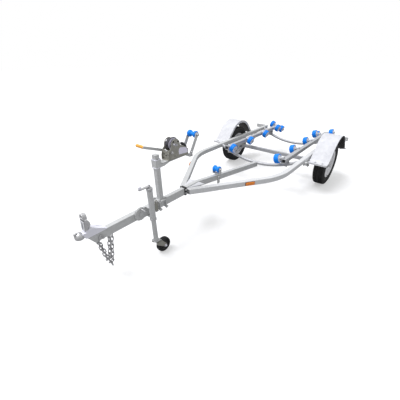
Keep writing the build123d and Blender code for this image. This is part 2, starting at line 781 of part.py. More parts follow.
# ---------------------------------------------------------------- safety chains and their lugs
link_bar = chain_link / 2 - chain_wire / 2              # link's middle to the middle of its end bar
link_pitch = chain_link - 2 * chain_wire - seat_gap
hole_cut = 2.8                                          # corner cut inside a link
corner_cut = hole_cut + chain_wire * (2 - 2 ** 0.5)
lug_hole = chain_wire + 4
lug_z = drawbar_bottom - 6 - lug_hole / 2
lean_room = 0.7                                         # a leaning link's corners reach this much lower
chain_top = lug_z - lug_hole / 2 + seat_gap + lean_room + chain_wire / 2


def chain_link_solid(x, y, z, along, across):
    """One eight-sided link: its middle, its long direction and its wide direction."""
    place = Plane(origin=(x, y, z), x_dir=along, z_dir=Vector(along).cross(Vector(across)))
    with BuildPart(mode=Mode.PRIVATE) as link:
        with BuildSketch(place):
            for half_l, half_w, cut, mode in (
                (chain_link / 2, chain_width / 2, corner_cut, Mode.ADD),
                (chain_link / 2 - chain_wire, chain_width / 2 - chain_wire, hole_cut, Mode.SUBTRACT),
            ):
                with BuildLine():
                    Polyline(
                        (half_l, half_w - cut), (half_l - cut, half_w), (cut - half_l, half_w),
                        (-half_l, half_w - cut), (-half_l, cut - half_w), (cut - half_l, -half_w),
                        (half_l - cut, -half_w), (half_l, cut - half_w),
                        close=True,
                    )
                make_face(mode=mode)
        extrude(amount=chain_wire / 2, both=True)
    return link.part.solid()


links = []
for (middle, half_top, y), count in zip(CHAINS, CHAIN_LINKS):
    strand = 2 * link_bar + (count - 1) * link_pitch
    lean = half_top - chain_foot
    fall = (strand ** 2 - lean ** 2) ** 0.5
    for end in (-1, 1):
        along = (-end * lean / strand, 0, -fall / strand)
        for i in range(count):
            run = link_bar + i * link_pitch
            across = (0, 1, 0) if i % 2 == 0 else (along[2], 0, -along[0])
            x = fore(middle) + end * half_top + run * along[0]
            links.append(chain_link_solid(x, y, chain_top + run * along[2], along, across))
    foot_z = chain_top - fall - chain_seat
    links.append(chain_link_solid(fore(middle), y, foot_z, (1, 0, 0), (0, 0, 1)))
    if count == max(CHAIN_LINKS):
        ring_z = foot_z - chain_width / 2 + chain_wire + seat_gap + chain_wire / 2 - link_bar
        links.append(chain_link_solid(fore(middle), y, ring_z, (0, 0, 1), (0, 1, 0)))
chains = Compound(children=links)
save(chains, "safety_chains")

with BuildPart() as chain_lugs:
    for middle, half_top, y in CHAINS:
        for end in (-1, 1):
            with BuildSketch(Plane.XZ.offset(-y)):
                with Locations((fore(middle) + end * half_top, (drawbar_bottom + lug_z - lug_hole) / 2)):
                    Rectangle(lug_hole + 12, drawbar_bottom - lug_z + lug_hole)
                with Locations((fore(middle) + end * half_top, lug_z)):
                    Rectangle(lug_hole, lug_hole, mode=Mode.SUBTRACT)
            extrude(amount=lug_sheet / 2, both=True)
save(chain_lugs.part, "chain_lugs")

# ---------------------------------------------------------------- jockey wheel
half_bar = drawbar_width / 2
disc_z = drawbar_z + jockey_pivot_rise
outer_r = jockey_outer_d / 2
inner_r = jockey_inner_d / 2
swivel_face = half_bar + jockey_disc_sheet + side_gap   # inboard face of the turning disc
with BuildPart() as jockey_bracket:
    with BuildSketch(Plane.XZ.offset(-half_bar)):
        with Locations((fore(jockey_pivot_x), disc_z)):
            Circle(jockey_disc_d / 2)
    extrude(amount=-jockey_disc_sheet)
    with BuildSketch(Plane.XZ.offset(-half_bar)):
        with Locations((fore(jockey_pivot_x), disc_z)):
            Circle(jockey_pin_d / 2)
    extrude(amount=-(2 * jockey_disc_sheet + 2 * side_gap + 6))
    with BuildSketch(Plane.XZ.offset(-(swivel_face + jockey_disc_sheet + side_gap))):
        with Locations((fore(jockey_pivot_x), disc_z)):
            Circle(jockey_pin_d / 2 + 6)
    extrude(amount=-6)
save(jockey_bracket.part, "jockey_bracket")

rib_start = swivel_face + jockey_disc_sheet
with BuildPart() as jockey_tube:
    with BuildSketch(Plane.XZ.offset(-swivel_face)):
        with Locations((fore(jockey_pivot_x), disc_z)):
            Circle(jockey_disc_d / 2 - 4)
        with Locations((fore((jockey_pivot_x + jockey_x) / 2) - outer_r, disc_z)):
            Rectangle(jockey_pivot_x - jockey_x, jockey_rib_gap + 2 * jockey_disc_sheet)
        with Locations((fore(jockey_pivot_x), disc_z)):
            Circle(jockey_pin_d / 2 + running_gap, mode=Mode.SUBTRACT)
    extrude(amount=-jockey_disc_sheet)
    for end in (-1, 1):
        with BuildSketch(Plane.XY.offset(disc_z + end * jockey_rib_gap / 2)):
            with Locations((fore(jockey_x), rib_start)):
                Rectangle(1.6 * outer_r, jockey_y - rib_start, align=(Align.CENTER, Align.MIN))
        extrude(amount=end * jockey_disc_sheet)
    with BuildSketch(Plane.XY.offset(jockey_tube_bottom)):
        with Locations((fore(jockey_x), jockey_y)):
            Circle(outer_r)
    extrude(amount=jockey_tube_top - jockey_tube_bottom)
    with BuildSketch(Plane.XY.offset(jockey_tube_bottom)):
        with Locations((fore(jockey_x), jockey_y)):
            Circle(inner_r + running_gap)
    extrude(amount=jockey_tube_top - jockey_tube_bottom - jockey_disc_sheet, mode=Mode.SUBTRACT)
save(jockey_tube.part, "jockey_tube")

with BuildPart() as jockey_crank:
    with BuildSketch(Plane.XY.offset(jockey_tube_top)):
        with Locations((fore(jockey_x), jockey_y)):
            Circle(crank_boss_d / 2)
    extrude(amount=crank_boss_height)
    with BuildSketch(Plane.XY.offset(jockey_tube_top + crank_boss_height)):
        with Locations((fore(jockey_x) + jockey_crank_arm / 2, jockey_y)):
            SlotOverall(jockey_crank_arm + crank_boss_d, crank_boss_d)
    extrude(amount=-crank_bar_sheet)
    with BuildSketch(Plane.XY.offset(jockey_tube_top + crank_boss_height)):
        with Locations((fore(jockey_x) + jockey_crank_arm, jockey_y)):
            Circle(jockey_knob_d / 2)
    extrude(amount=jockey_knob_height)
save(jockey_crank.part, "jockey_crank")

fork_top = jockey_wheel_d + fork_gap + fork_bridge
jockey_wheel_r = jockey_wheel_d / 2
leg_bottom = fork_top + side_gap
leg_top = jockey_tube_top - jockey_disc_sheet - jockey_travel - swing_gap
with BuildPart() as jockey_leg:
    with BuildSketch(Plane.XY.offset(leg_bottom)):
        with Locations((fore(jockey_x), jockey_y)):
            Circle(inner_r)
    extrude(amount=leg_top - leg_bottom)
    with BuildSketch(Plane.XY.offset(leg_bottom + fork_pin_length)):
        with Locations((fore(jockey_x), jockey_y)):
            Circle(inner_r - jockey_leg_wall)
    extrude(amount=leg_top - leg_bottom, mode=Mode.SUBTRACT)
    with BuildSketch(Plane.XY.offset(leg_bottom)):
        with Locations((fore(jockey_x), jockey_y)):
            Circle(fork_pin_d / 2 + running_gap)
    extrude(amount=fork_pin_length, mode=Mode.SUBTRACT)
save(jockey_leg.part, "jockey_leg")

wheel_x = jockey_x - jockey_trail
fork_half = jockey_wheel_width / 2 + fork_gap
with BuildPart() as jockey_fork:
    for sign in (-1, 1):
        with BuildSketch(Plane.XZ.offset(-(jockey_y + sign * fork_half))):
            with BuildLine():
                Polyline(
                    (fore(jockey_x) + outer_r, fork_top),
                    (fore(wheel_x) - 8, fork_top),
                    (fore(wheel_x) - 16, jockey_wheel_r - 16),
                    (fore(wheel_x) + 16, jockey_wheel_r - 16),
                    (fore(jockey_x) + outer_r, fork_top - fork_bridge),
                    close=True,
                )
            make_face()
        extrude(amount=-sign * fork_sheet)
    with BuildSketch(Plane.XY.offset(fork_top)):
        with Locations(((fore(jockey_x) + outer_r + fore(wheel_x) - 8) / 2, jockey_y)):
            Rectangle(jockey_x + outer_r - wheel_x + 8, 2 * fork_half)
    extrude(amount=-fork_bridge)
    with BuildSketch(Plane.XY.offset(fork_top)):
        with Locations((fore(jockey_x), jockey_y)):
            Circle(fork_pin_d / 2)
    extrude(amount=fork_pin_length)
    with BuildSketch(Plane.XZ.offset(-(jockey_y - fork_half - fork_sheet))):
        with Locations((fore(wheel_x), jockey_wheel_r)):
            Circle(jockey_axle_d / 2)
    extrude(amount=-2 * (fork_half + fork_sheet))
save(jockey_fork.part, "jockey_fork")

with BuildPart() as jockey_wheel:
    with BuildSketch(Plane.XY):
        with BuildLine():
            half = jockey_wheel_width / 2
            web = half - jockey_dish
            hub = jockey_hub_d / 2
            tread = jockey_wheel_r - jockey_tread
            Polyline(
                (jockey_axle_d / 2 + running_gap, -half), (hub, -half), (hub + 6, -web), (tread - 6, -web),
                (tread, -half), (jockey_wheel_r - 8, -half), (jockey_wheel_r, 8 - half),
                (jockey_wheel_r, half - 8), (jockey_wheel_r - 8, half), (tread, half), (tread - 6, web),
                (hub + 6, web), (hub, half), (jockey_axle_d / 2 + running_gap, half),
                close=True,
            )
        make_face()
    revolve(axis=Axis.Y)
save(Plane(origin=(fore(wheel_x), jockey_y, jockey_wheel_r)).location * jockey_wheel.part, "jockey_wheel")

# ---------------------------------------------------------------- winch post
with BuildPart() as post_base:
    with BuildSketch(Plane.XY.offset(frame_top)):
        with Locations((fore(post_x), 0)):
            Rectangle(base_size, base_size)
    extrude(amount=base_sheet)
    with BuildSketch(Plane.XY.offset(drawbar_bottom - base_sheet)):
        with Locations((fore(post_x), 0)):
            with GridLocations(base_bolt_x, 0, 2, 1):
                Rectangle(2 * base_bolt_d, base_size)
    extrude(amount=base_sheet)
    with BuildSketch(Plane.XY.offset(drawbar_bottom - base_sheet - base_bolt_d)):
        with Locations((fore(post_x), 0)):
            with GridLocations(base_bolt_x, drawbar_width + 2 * base_bolt_d, 2, 2):
                Circle(base_bolt_d / 2)
    extrude(amount=drawbar_height + 2 * base_sheet + 2 * base_bolt_d)
save(post_base.part, "post_base")

post_bottom = frame_top + base_sheet
with BuildPart() as winch_post:
    with BuildSketch(Plane.XY.offset(post_bottom)):
        with Locations((fore(post_x), 0)):
            RectangleRounded(post_size, post_size, post_corner)
    extrude(amount=post_top - post_bottom)
    with BuildSketch(Plane.XY.offset(post_bottom)):
        with Locations((fore(post_x), 0)):
            RectangleRounded(post_size - 2 * post_wall, post_size - 2 * post_wall, post_corner - post_wall)
    extrude(amount=post_top - post_bottom - post_wall, mode=Mode.SUBTRACT)
save(winch_post.part, "winch_post")

sleeve_hole = post_size + 2 * seat_gap
sleeve_size = sleeve_hole + 2 * sleeve_wall
platform_front = post_x - sleeve_size / 2
platform_run = platform_front - platform_rear
with BuildPart() as winch_bracket:
    with BuildSketch(Plane.XY.offset(sleeve_bottom)):
        with Locations((fore(post_x), 0)):
            RectangleRounded(sleeve_size, sleeve_size, post_corner)
            RectangleRounded(sleeve_hole, sleeve_hole, post_corner, mode=Mode.SUBTRACT)
    extrude(amount=sleeve_top - sleeve_bottom)
    with BuildSketch(Plane.XY.offset(winch_floor)):
        with Locations((fore(platform_rear), 0)):
            Rectangle(platform_run + 1, platform_width, align=(Align.MIN, Align.CENTER))
    extrude(amount=-platform_sheet)
    for sign in (-1, 1):
        with BuildSketch(Plane.XZ.offset(-sign * platform_width / 2)):
            with BuildLine():
                Polyline(
                    (fore(platform_rear), winch_floor),
                    (fore(platform_front) + 1, winch_floor),
                    (fore(platform_front) + 1, sleeve_bottom),
                    (fore(platform_rear), winch_floor - platform_flange),
                    close=True,
                )
            make_face()
        extrude(amount=sign * platform_sheet)
    with BuildSketch(Plane.XY.offset(sleeve_bottom)):
        with Locations((fore(platform_front), 0)):
            Rectangle(platform_sheet, platform_width, align=(Align.MAX, Align.CENTER))
    extrude(amount=winch_floor - sleeve_bottom)
save(winch_bracket.part, "winch_bracket")

# ---------------------------------------------------------------- winch
plate_in = winch_half - winch_plate / 2
plate_out = winch_half + winch_plate / 2
with BuildPart() as winch_frame:
    with BuildSketch(Plane.XY.offset(winch_floor)):
        with Locations((fore((winch_front + winch_rear) / 2), 0)):
            Rectangle(winch_front - winch_rear, 2 * plate_out)
    extrude(amount=winch_plate)
    with BuildSketch(Plane.YZ.offset(fore(winch_front - winch_front_lean))):
        with Locations((0, winch_floor)):
            Rectangle(2 * plate_out, winch_front_height, align=(Align.CENTER, Align.MIN))
    extrude(amount=-winch_plate)
    for sign in (-1, 1):
        with BuildSketch(Plane.XZ.offset(-sign * plate_out)):
            with BuildLine():
                Polyline(
                    (fore(winch_rear), winch_floor),
                    (fore(winch_front), winch_floor),
                    (fore(winch_front - winch_front_lean), winch_floor + winch_front_height),
                    (fore(winch_x) + winch_head, winch_drum_z),
                    (fore(winch_x) - winch_head, winch_drum_z),
                    (fore(winch_x - winch_neck), winch_drum_z - winch_neck / 4),
                    (fore(winch_rear), winch_floor + winch_tail_height),
                    close=True,
                )
            make_face()
            with Locations((fore(winch_x), winch_drum_z)):
                Circle(winch_head)
            with Locations((fore(winch_x), winch_drum_z)):
                Circle(drum_shaft_d / 2 + running_gap, mode=Mode.SUBTRACT)
            with Locations((fore(pinion_x), pinion_z)):
                Circle(crank_shaft_d / 2 + running_gap, mode=Mode.SUBTRACT)
        extrude(amount=sign * winch_plate)
save(winch_frame.part, "winch_frame")

gear_distance = hypot(pinion_x - winch_x, winch_drum_z - pinion_z)
pinion_r = gear_distance / (1 + gear_ratio)
gear_r = gear_distance - pinion_r
with BuildPart() as winch_drum:
    # radius, Y where it starts, Y where it ends
    for radius, start, end in (
        (drum_shaft_d / 2, -plate_out - 4, plate_out + 4),
        (drum_core_d / 2, -plate_in + side_gap, plate_in - side_gap),
        (gear_r - running_gap, plate_in - side_gap - drum_gear_sheet, plate_in - side_gap),
        (gear_r - 4, side_gap - plate_in, side_gap + drum_flange_sheet - plate_in),
    ):
        with BuildSketch(Plane.XZ.offset(-start)):
            with Locations((fore(winch_x), winch_drum_z)):
                Circle(radius)
        extrude(amount=start - end)
save(winch_drum.part, "winch_drum")

strap_half = strap_width / 2
with BuildPart() as winch_strap:
    with BuildSketch(Plane.XZ.offset(-strap_offset)):
        with Locations((fore(winch_x), winch_drum_z)):
            Circle(winding_d / 2)
            Circle(drum_core_d / 2 + seat_gap, mode=Mode.SUBTRACT)
    extrude(amount=strap_half, both=True)
save(winch_strap.part, "winch_strap")

arm_y = -plate_out - crank_offset - crank_sheet         # outboard face of the crank arm
lift = radians(crank_tilt)
grip_x = fore(pinion_x) + crank_arm * cos(lift)
grip_z = pinion_z + crank_arm * sin(lift)
with BuildPart() as winch_handle:
    # radius, Y where it starts, Y where it ends
    for radius, start, end in (
        (crank_shaft_d / 2, arm_y - 4, plate_out + 4),
        (pinion_r - running_gap, plate_in - side_gap - drum_gear_sheet - 3, plate_in - side_gap),
    ):
        with BuildSketch(Plane.XZ.offset(-start)):
            with Locations((fore(pinion_x), pinion_z)):
                Circle(radius)
        extrude(amount=start - end)
    with BuildSketch(Plane.XZ.offset(-arm_y)):
        with Locations(Location(((fore(pinion_x) + grip_x) / 2, (pinion_z + grip_z) / 2), crank_tilt)):
            SlotCenterToCenter(crank_arm, crank_bar_width)
    extrude(amount=-crank_sheet)
    with BuildSketch(Plane.XZ.offset(-arm_y)):
        with Locations((grip_x, grip_z)):
            Circle(grip_pin_d / 2)
    extrude(amount=crank_grip + 2 * side_gap + 4)
save(winch_handle.part, "winch_handle")

with BuildPart() as winch_grip:
    with BuildSketch(Plane.XZ.offset(-arm_y + side_gap)):
        with Locations((grip_x, grip_z)):
            Circle(crank_grip_d / 2)
            Circle(grip_pin_d / 2 + seat_gap, mode=Mode.SUBTRACT)
    extrude(amount=crank_grip)
save(winch_grip.part, "winch_grip")

# ---------------------------------------------------------------- bow roller and its arms
bow_half = bow_roller_length / 2
bow_arm_in = bow_half + side_gap
with BuildPart() as bow_arms:
    with BuildSketch(Plane.YZ.offset(fore(platform_rear))):
        with Locations((0, winch_floor - platform_flange)):
            Rectangle(2 * (bow_arm_in + bow_arm_sheet), platform_flange, align=(Align.CENTER, Align.MIN))
    extrude(amount=-bow_arm_sheet)
    for sign in (-1, 1):
        with BuildSketch(Plane.XZ.offset(-sign * bow_arm_in)):
            with BuildLine():
                Polyline(
                    (fore(platform_rear), winch_floor - platform_flange),
                    (fore(platform_rear), winch_floor + 4),
                    (fore(bow_x) + 18, bow_z + 4),
                    (fore(bow_x) + 8, bow_z + 16),
                    (fore(bow_x) - 10, bow_z + 14),
                    (fore(bow_x) - 16, bow_z - 6),
                    (fore(platform_rear) - 44, winch_floor + 10),
                    (fore(platform_rear) - 24, winch_floor - platform_flange),
                    close=True,
                )
            make_face()
        extrude(amount=-sign * bow_arm_sheet)
    with BuildSketch(Plane.XZ.offset(bow_arm_in + bow_arm_sheet)):
        with Locations((fore(bow_x), bow_z)):
            Circle(pin_r)
    extrude(amount=-2 * (bow_arm_in + bow_arm_sheet))
save(bow_arms.part, "bow_roller_arms")


def waisted_roller(name, x, z, length, end_d, waist_d):
    """A keel or bow roller across the trailer, thinner in its middle."""
    half = length / 2
    with BuildPart() as roller:
        with BuildSketch(Plane.XY):
            with BuildLine():
                Polyline(
                    (pin_r + running_gap, -half),
                    (end_d / 2 - 4, -half),
                    (end_d / 2, 4 - half),
                    (end_d / 2, 14 - half),
                    (waist_d / 2, -half / 4),
                    (waist_d / 2, half / 4),
                    (end_d / 2, half - 14),
                    (end_d / 2, half - 4),
                    (end_d / 2 - 4, half),
                    (pin_r + running_gap, half),
                    close=True,
                )
            make_face()
        revolve(axis=Axis.Y)
    save(Plane(origin=(fore(x), 0, z)).location * roller.part, name)


waisted_roller("bow_roller", bow_x, bow_z, bow_roller_length, bow_roller_d, bow_roller_waist)

# ---------------------------------------------------------------- keel roller and its yoke
waisted_roller("keel_roller", keel_roller_x, keel_roller_z, keel_roller_length, keel_roller_d, keel_roller_waist)
keel_in = keel_roller_length / 2 + side_gap
yoke_floor = keel_roller_z - keel_roller_d / 2 - swing_gap - yoke_sheet
with BuildPart() as keel_mount:
    with BuildSketch(Plane.XY.offset(yoke_floor)):
        with Locations((fore(keel_roller_x), 0)):
            Rectangle(yoke_width, 2 * (keel_in + yoke_sheet))
    extrude(amount=-yoke_sheet)
    for sign in (-1, 1):
        with BuildSketch(Plane.XZ.offset(-sign * keel_in)):
            with Locations((fore(keel_roller_x), yoke_floor - yoke_sheet)):
                Rectangle(yoke_width, keel_roller_z - yoke_floor + yoke_sheet, align=(Align.CENTER, Align.MIN))
            with Locations((fore(keel_roller_x), keel_roller_z)):
                Circle(yoke_width / 2)
        extrude(amount=-sign * yoke_sheet)
    with BuildSketch(Plane.XZ.offset(keel_in + yoke_sheet)):
        with Locations((fore(keel_roller_x), keel_roller_z)):
            Circle(pin_r)
    extrude(amount=-2 * (keel_in + yoke_sheet))
    with BuildSketch(Plane.XZ.offset(-drawbar_width / 2 - seat_gap)):
        with Locations((fore(keel_roller_x), yoke_floor)):
            Rectangle(yoke_width, yoke_stem, align=(Align.CENTER, Align.MAX))
    extrude(amount=-yoke_sheet)
save(keel_mount.part, "keel_roller_mount")

# ---------------------------------------------------------------- side markers, tail lamps and their brackets
with BuildPart() as markers:
    for side, sign in SIDES:
        centre_y = rail_centre(marker_x)
        face = Plane(
            origin=(
                fore(marker_x) + rail_size / 2 * sin(splay),
                sign * (centre_y + rail_size / 2 * cos(splay)),
                rail_z,
            ),
            x_dir=(-cos(splay), sign * sin(splay), 0),
            z_dir=(sin(splay), sign * cos(splay), 0),
        )
        with BuildSketch(face):
            RectangleRounded(marker_length, marker_height, marker_corner)
        extrude(amount=marker_depth)
save(markers.part, "side_markers")

lamp_centre_y = rail_outer + lamp_offset
with BuildPart() as lamp_brackets:
    with BuildSketch(Plane.YZ.offset(fore(rail_rear))):
        for sign in (-1, 1):
            with Locations((sign * (rail_inner + lamp_centre_y + lamp_width / 2) / 2, rail_z)):
                Rectangle(lamp_centre_y + lamp_width / 2 - rail_inner, lamp_height)
            with Locations((sign * lamp_centre_y, rail_z)):
                with GridLocations(plate_bolt_spacing, 0, 2, 1):
                    Circle(plate_bolt_d / 2, mode=Mode.SUBTRACT)
    extrude(amount=-bracket_sheet)
save(lamp_brackets.part, "lamp_brackets")
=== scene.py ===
"""Finish, tyres, rollers, fastenings and small fittings of a galvanised boat trailer.

Sizes are written in millimetres and places in millimetres ahead of the wheel axle, to the left of the
middle and above the ground, as a trailer builder would measure them.
"""

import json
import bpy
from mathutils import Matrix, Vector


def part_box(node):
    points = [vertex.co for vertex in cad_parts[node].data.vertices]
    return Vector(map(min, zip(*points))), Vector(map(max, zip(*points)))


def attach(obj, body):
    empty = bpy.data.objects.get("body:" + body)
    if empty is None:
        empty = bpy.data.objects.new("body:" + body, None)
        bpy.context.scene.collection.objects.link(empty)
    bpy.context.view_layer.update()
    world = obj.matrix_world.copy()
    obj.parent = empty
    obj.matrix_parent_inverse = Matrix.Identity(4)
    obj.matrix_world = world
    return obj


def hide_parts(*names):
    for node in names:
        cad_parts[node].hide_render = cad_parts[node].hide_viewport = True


bl_info = {
    "name": "Boat Trailer",
    "version": (1, 0, 0),
    "blender": (4, 5, 0),
    "location": "View3D > Sidebar > Trailer",
    "description": "Models the finish, tyres, rollers, fastenings and fittings of a galvanised boat trailer",
    "category": "Object",
}

from math import atan2, cos, hypot, pi, radians, sin, tan

import bpy
from bpy.props import FloatProperty, FloatVectorProperty, IntProperty, PointerProperty
from mathutils import Matrix, Vector

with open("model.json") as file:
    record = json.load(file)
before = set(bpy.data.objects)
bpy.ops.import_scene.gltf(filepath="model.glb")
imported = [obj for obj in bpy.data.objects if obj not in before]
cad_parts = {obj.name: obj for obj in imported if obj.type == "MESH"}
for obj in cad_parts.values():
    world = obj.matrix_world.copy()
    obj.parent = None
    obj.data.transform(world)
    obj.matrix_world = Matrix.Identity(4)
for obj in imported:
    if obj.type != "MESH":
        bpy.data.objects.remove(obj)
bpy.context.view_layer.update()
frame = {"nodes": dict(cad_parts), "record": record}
MM = 0.001
AXLE_X = (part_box("tyre_left")[0][0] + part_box("tyre_left")[1][0]) / 2
SIDES = (("left", 1), ("right", -1))
UP, DOWN, LEFT, RIGHT = (0, 0, 1), (0, 0, -1), (0, 1, 0), (0, -1, 0)


def at(ahead, y, z):
    """A place in metres, from millimetres ahead of the wheel axle, to the left and up."""
    return Vector((AXLE_X + ahead * MM, y * MM, z * MM))


def by(x, y, z):
    """A step in metres, from millimetres."""
    return Vector((x * MM, y * MM, z * MM))


# ---------------------------------------------------------------- settings
def length(name, description, default):
    return FloatProperty(name=name, description=description, default=default * MM, unit="LENGTH", subtype="DISTANCE")


def colour(name, description, default):
    return FloatVectorProperty(name=name, description=description, default=default, subtype="COLOR", min=0, max=1)


class TrailerFinish(bpy.types.PropertyGroup):
    """Colours of the trailer's materials"""

    steel: colour("Galvanised steel", "Colour of the dipped frame", (0.66, 0.665, 0.675))
    steel_dark: colour("Galvanised shade", "Darker crystals and stains of the zinc", (0.47, 0.48, 0.475))
    plated: colour("Plated steel", "Colour of bolts, nuts and chain", (0.74, 0.74, 0.76))
    plated_dark: colour("Plated shade", "Colour of dull plating", (0.36, 0.36, 0.355))
    # painted light: rail and rail_dark are a brighter copy of the galvanised steel, given only to the left side rail,
    # the lit near one
    rail: colour("Rail steel", "Bright crystals of the side rails", (0.76, 0.765, 0.78))
    rail_dark: colour("Rail steel shade", "Dull crystals of the side rails", (0.58, 0.59, 0.60))
    # painted shade: beam and beam_dark are a darker copy of the galvanised steel, for the roller beams, cross tubes and
    # axle low under the rails
    beam: colour("Beam steel", "Bright crystals of the roller beams and cross tubes", (0.53, 0.535, 0.555))
    beam_dark: colour("Beam steel shade", "Dull crystals of the roller beams and cross tubes", (0.37, 0.375, 0.39))
    guard: colour("Guard sheet", "Colour of the mudguards", (0.68, 0.685, 0.70))
    guard_dark: colour("Guard shade", "Cloudy patches of the mudguards", (0.50, 0.505, 0.54))
    # the chain's dark tone is partly dull plating and partly painted dark reflection on the links
    chain_dark: colour("Chain shade", "Dull patches of the chain", (0.16, 0.16, 0.155))
    passivate: colour("Passivated zinc", "Colour of the winch plates", (0.40, 0.395, 0.36))
    passivate_dark: colour("Passivate shade", "Dull patches of the winch plates", (0.25, 0.245, 0.21))
    wheel: colour("Wheel enamel", "Colour of the pressed wheels", (0.90, 0.90, 0.93))
    roller: colour("Roller", "Colour of the moulded rollers", (0.002, 0.235, 0.86))
    roller_end: colour("Roller end", "Colour of the bushes in the rollers", (0.78, 0.78, 0.86))
    rubber: colour("Tyre rubber", "Colour of the tyres", (0.0085, 0.0085, 0.009))
    plastic: colour("Black plastic", "Colour of knobs and pawl", (0.010, 0.010, 0.011))
    grip: colour("Crank grip", "Colour of the winch grip", (0.86, 0.40, 0.04))
    amber: colour("Amber lens", "Colour of the side marker lenses", (0.93, 0.30, 0.01))
    webbing: colour("Webbing", "Colour of the winch strap", (0.035, 0.035, 0.045))
    decal: colour("Decal", "Colour of the bare decal on the winch", (0.76, 0.74, 0.88))


class TrailerSizes(bpy.types.PropertyGroup):
    """Sizes of the pieces that dress the frame"""

    tread_depth: length("Tread depth", "Depth of the tyre's grooves", 6)
    tread_blocks: IntProperty(name="Tread blocks", description="Shoulder blocks round a tyre", default=60, min=12)
    wheel_nut: length("Wheel nut", "Width of a wheel nut across its flats", 19)
    wheel_nuts: IntProperty(name="Wheel nuts", description="Nuts on each wheel", default=4, min=3)
    nut_circle: length("Nut circle", "Diameter of the ring of wheel nuts", 98)
    roller_groove: length("Roller groove", "Depth of the grooves in a hull roller", 2)
    chain_wire: length("Chain wire", "Diameter of the safety chain's wire", 8)
    bead: length("Guard bead", "Diameter of the rolled edge of a mudguard", 7)


class TrailerStudio(bpy.types.PropertyGroup):
    """Camera and lamps"""

    lens: FloatProperty(name="Lens", description="Focal length", default=21.88, min=1, unit="CAMERA")
    azimuth: FloatProperty(name="Azimuth", description="Turn of the camera", default=131.4926)
    elevation: FloatProperty(name="Elevation", description="Tilt of the camera", default=30.1704)
    roll: FloatProperty(name="Roll", description="Roll of the camera", default=-1.061)
    sky: FloatProperty(name="Sky", description="Strength of the even light", default=0.38, min=0)
    key: FloatProperty(name="Key lamp", description="Strength of the overhead sun", default=3.1, min=0)


# ---------------------------------------------------------------- materials
class Reading:
    """A number that varies over a surface and takes part in plain arithmetic."""

    def __init__(self, recipe, socket):
        self.recipe = recipe
        self.socket = socket

    def work(self, operation, other, turned=False, clamp=False):
        first, second = (other, self) if turned else (self, other)
        settings = {"operation": operation, "use_clamp": clamp}
        return Reading(self.recipe, self.recipe.node("ShaderNodeMath", settings, {0: first, 1: second}).outputs[0])

    def __add__(self, other):
        return self.work("ADD", other)

    __radd__ = __add__

    def __mul__(self, other):
        return self.work("MULTIPLY", other)

    __rmul__ = __mul__

    def __sub__(self, other):
        return self.work("SUBTRACT", other)

    def __rsub__(self, other):
        return self.work("SUBTRACT", other, turned=True)

    def wave(self):
        return self.work("SINE", 0)

    def clamped(self):
        return self.work("ADD", 0, clamp=True)


class Recipe:
    """A material or a world built from nodes, its patterns on Object coordinates."""

    def __init__(self, name, library="materials"):
        self.owner = getattr(bpy.data, library).new(name)
        self.owner.use_nodes = True
        self.tree = self.owner.node_tree
        self.tree.nodes.clear()
        self.place = self.node("ShaderNodeTexCoord").outputs["Object"]

    def node(self, kind, settings=None, sockets=None):
        """Adds one node: its type, its settings, then the values or links of its sockets."""
        node = self.tree.nodes.new(kind)
        for key, value in (settings or {}).items():
            setattr(node, key, value)
        for key, value in (sockets or {}).items():
            source = value.socket if isinstance(value, Reading) else value
            if isinstance(source, bpy.types.NodeSocket):
                self.tree.links.new(source, node.inputs[key])
            elif isinstance(source, (tuple, list)) and len(source) == 3 and node.inputs[key].type == "RGBA":
                node.inputs[key].default_value = tuple(source) + (1,)
            else:
                node.inputs[key].default_value = source
        return node

    def noise(self, scale, detail=2, rough=0.5, stretch=None):
        """Cloudy noise; stretch is a scale for each axis."""
        place = self.place
        if stretch:
            place = self.node("ShaderNodeMapping", {}, {"Vector": place, "Scale": stretch}).outputs[0]
        sockets = {"Vector": place, "Scale": scale, "Detail": detail, "Roughness": rough}
        return Reading(self, self.node("ShaderNodeTexNoise", {}, sockets).outputs["Fac"])

    def cells(self, scale):
        """Crystals of random shade."""
        shade = self.node("ShaderNodeTexVoronoi", {}, {"Vector": self.place, "Scale": scale}).outputs["Color"]
        return Reading(self, self.node("ShaderNodeSeparateColor", {}, {0: shade}).outputs[0])

    def seen(self):
        """One for rays that reach the camera, straight or through glass, and zero for the others."""
        path = self.node("ShaderNodeLightPath").outputs
        return Reading(self, path["Is Camera Ray"]).work("MAXIMUM", Reading(self, path["Is Transmission Ray"]))

    def coordinate(self, axis):
        """One Object coordinate, in metres."""
        return Reading(self, self.node("ShaderNodeSeparateXYZ", {}, {0: self.place}).outputs[axis])

    def mix(self, factor, first, second):
        """A colour between two others."""
        node = self.node("ShaderNodeMix", {"data_type": "RGBA", "clamp_factor": True}, {0: factor, 6: first, 7: second})
        return node.outputs[2]

    def bump(self, height, strength, distance):
        sockets = {"Height": height, "Strength": strength, "Distance": distance}
        return self.node("ShaderNodeBump", {}, sockets).outputs[0]

    def surface(self, shade, low, high, rough, relief, **sockets):
        """The shader and the output, from two tones with a shade between them, and the relief's height,
        strength and depth. Other names are the Principled shader's sockets, with _ for spaces."""
        values = {key.replace("_", " "): value for key, value in sockets.items()}
        values.update({"Base Color": self.mix(shade, low, high), "Roughness": rough, "Normal": self.bump(*relief)})
        shader = self.node("ShaderNodeBsdfPrincipled", {}, values)
        self.node("ShaderNodeOutputMaterial", {}, {"Surface": shader.outputs[0]})
        return self.owner


def tinted(tone, scale, lift=0):
    """A colour made deeper or paler."""
    return tuple(min(1, channel * scale + lift) for channel in tone)


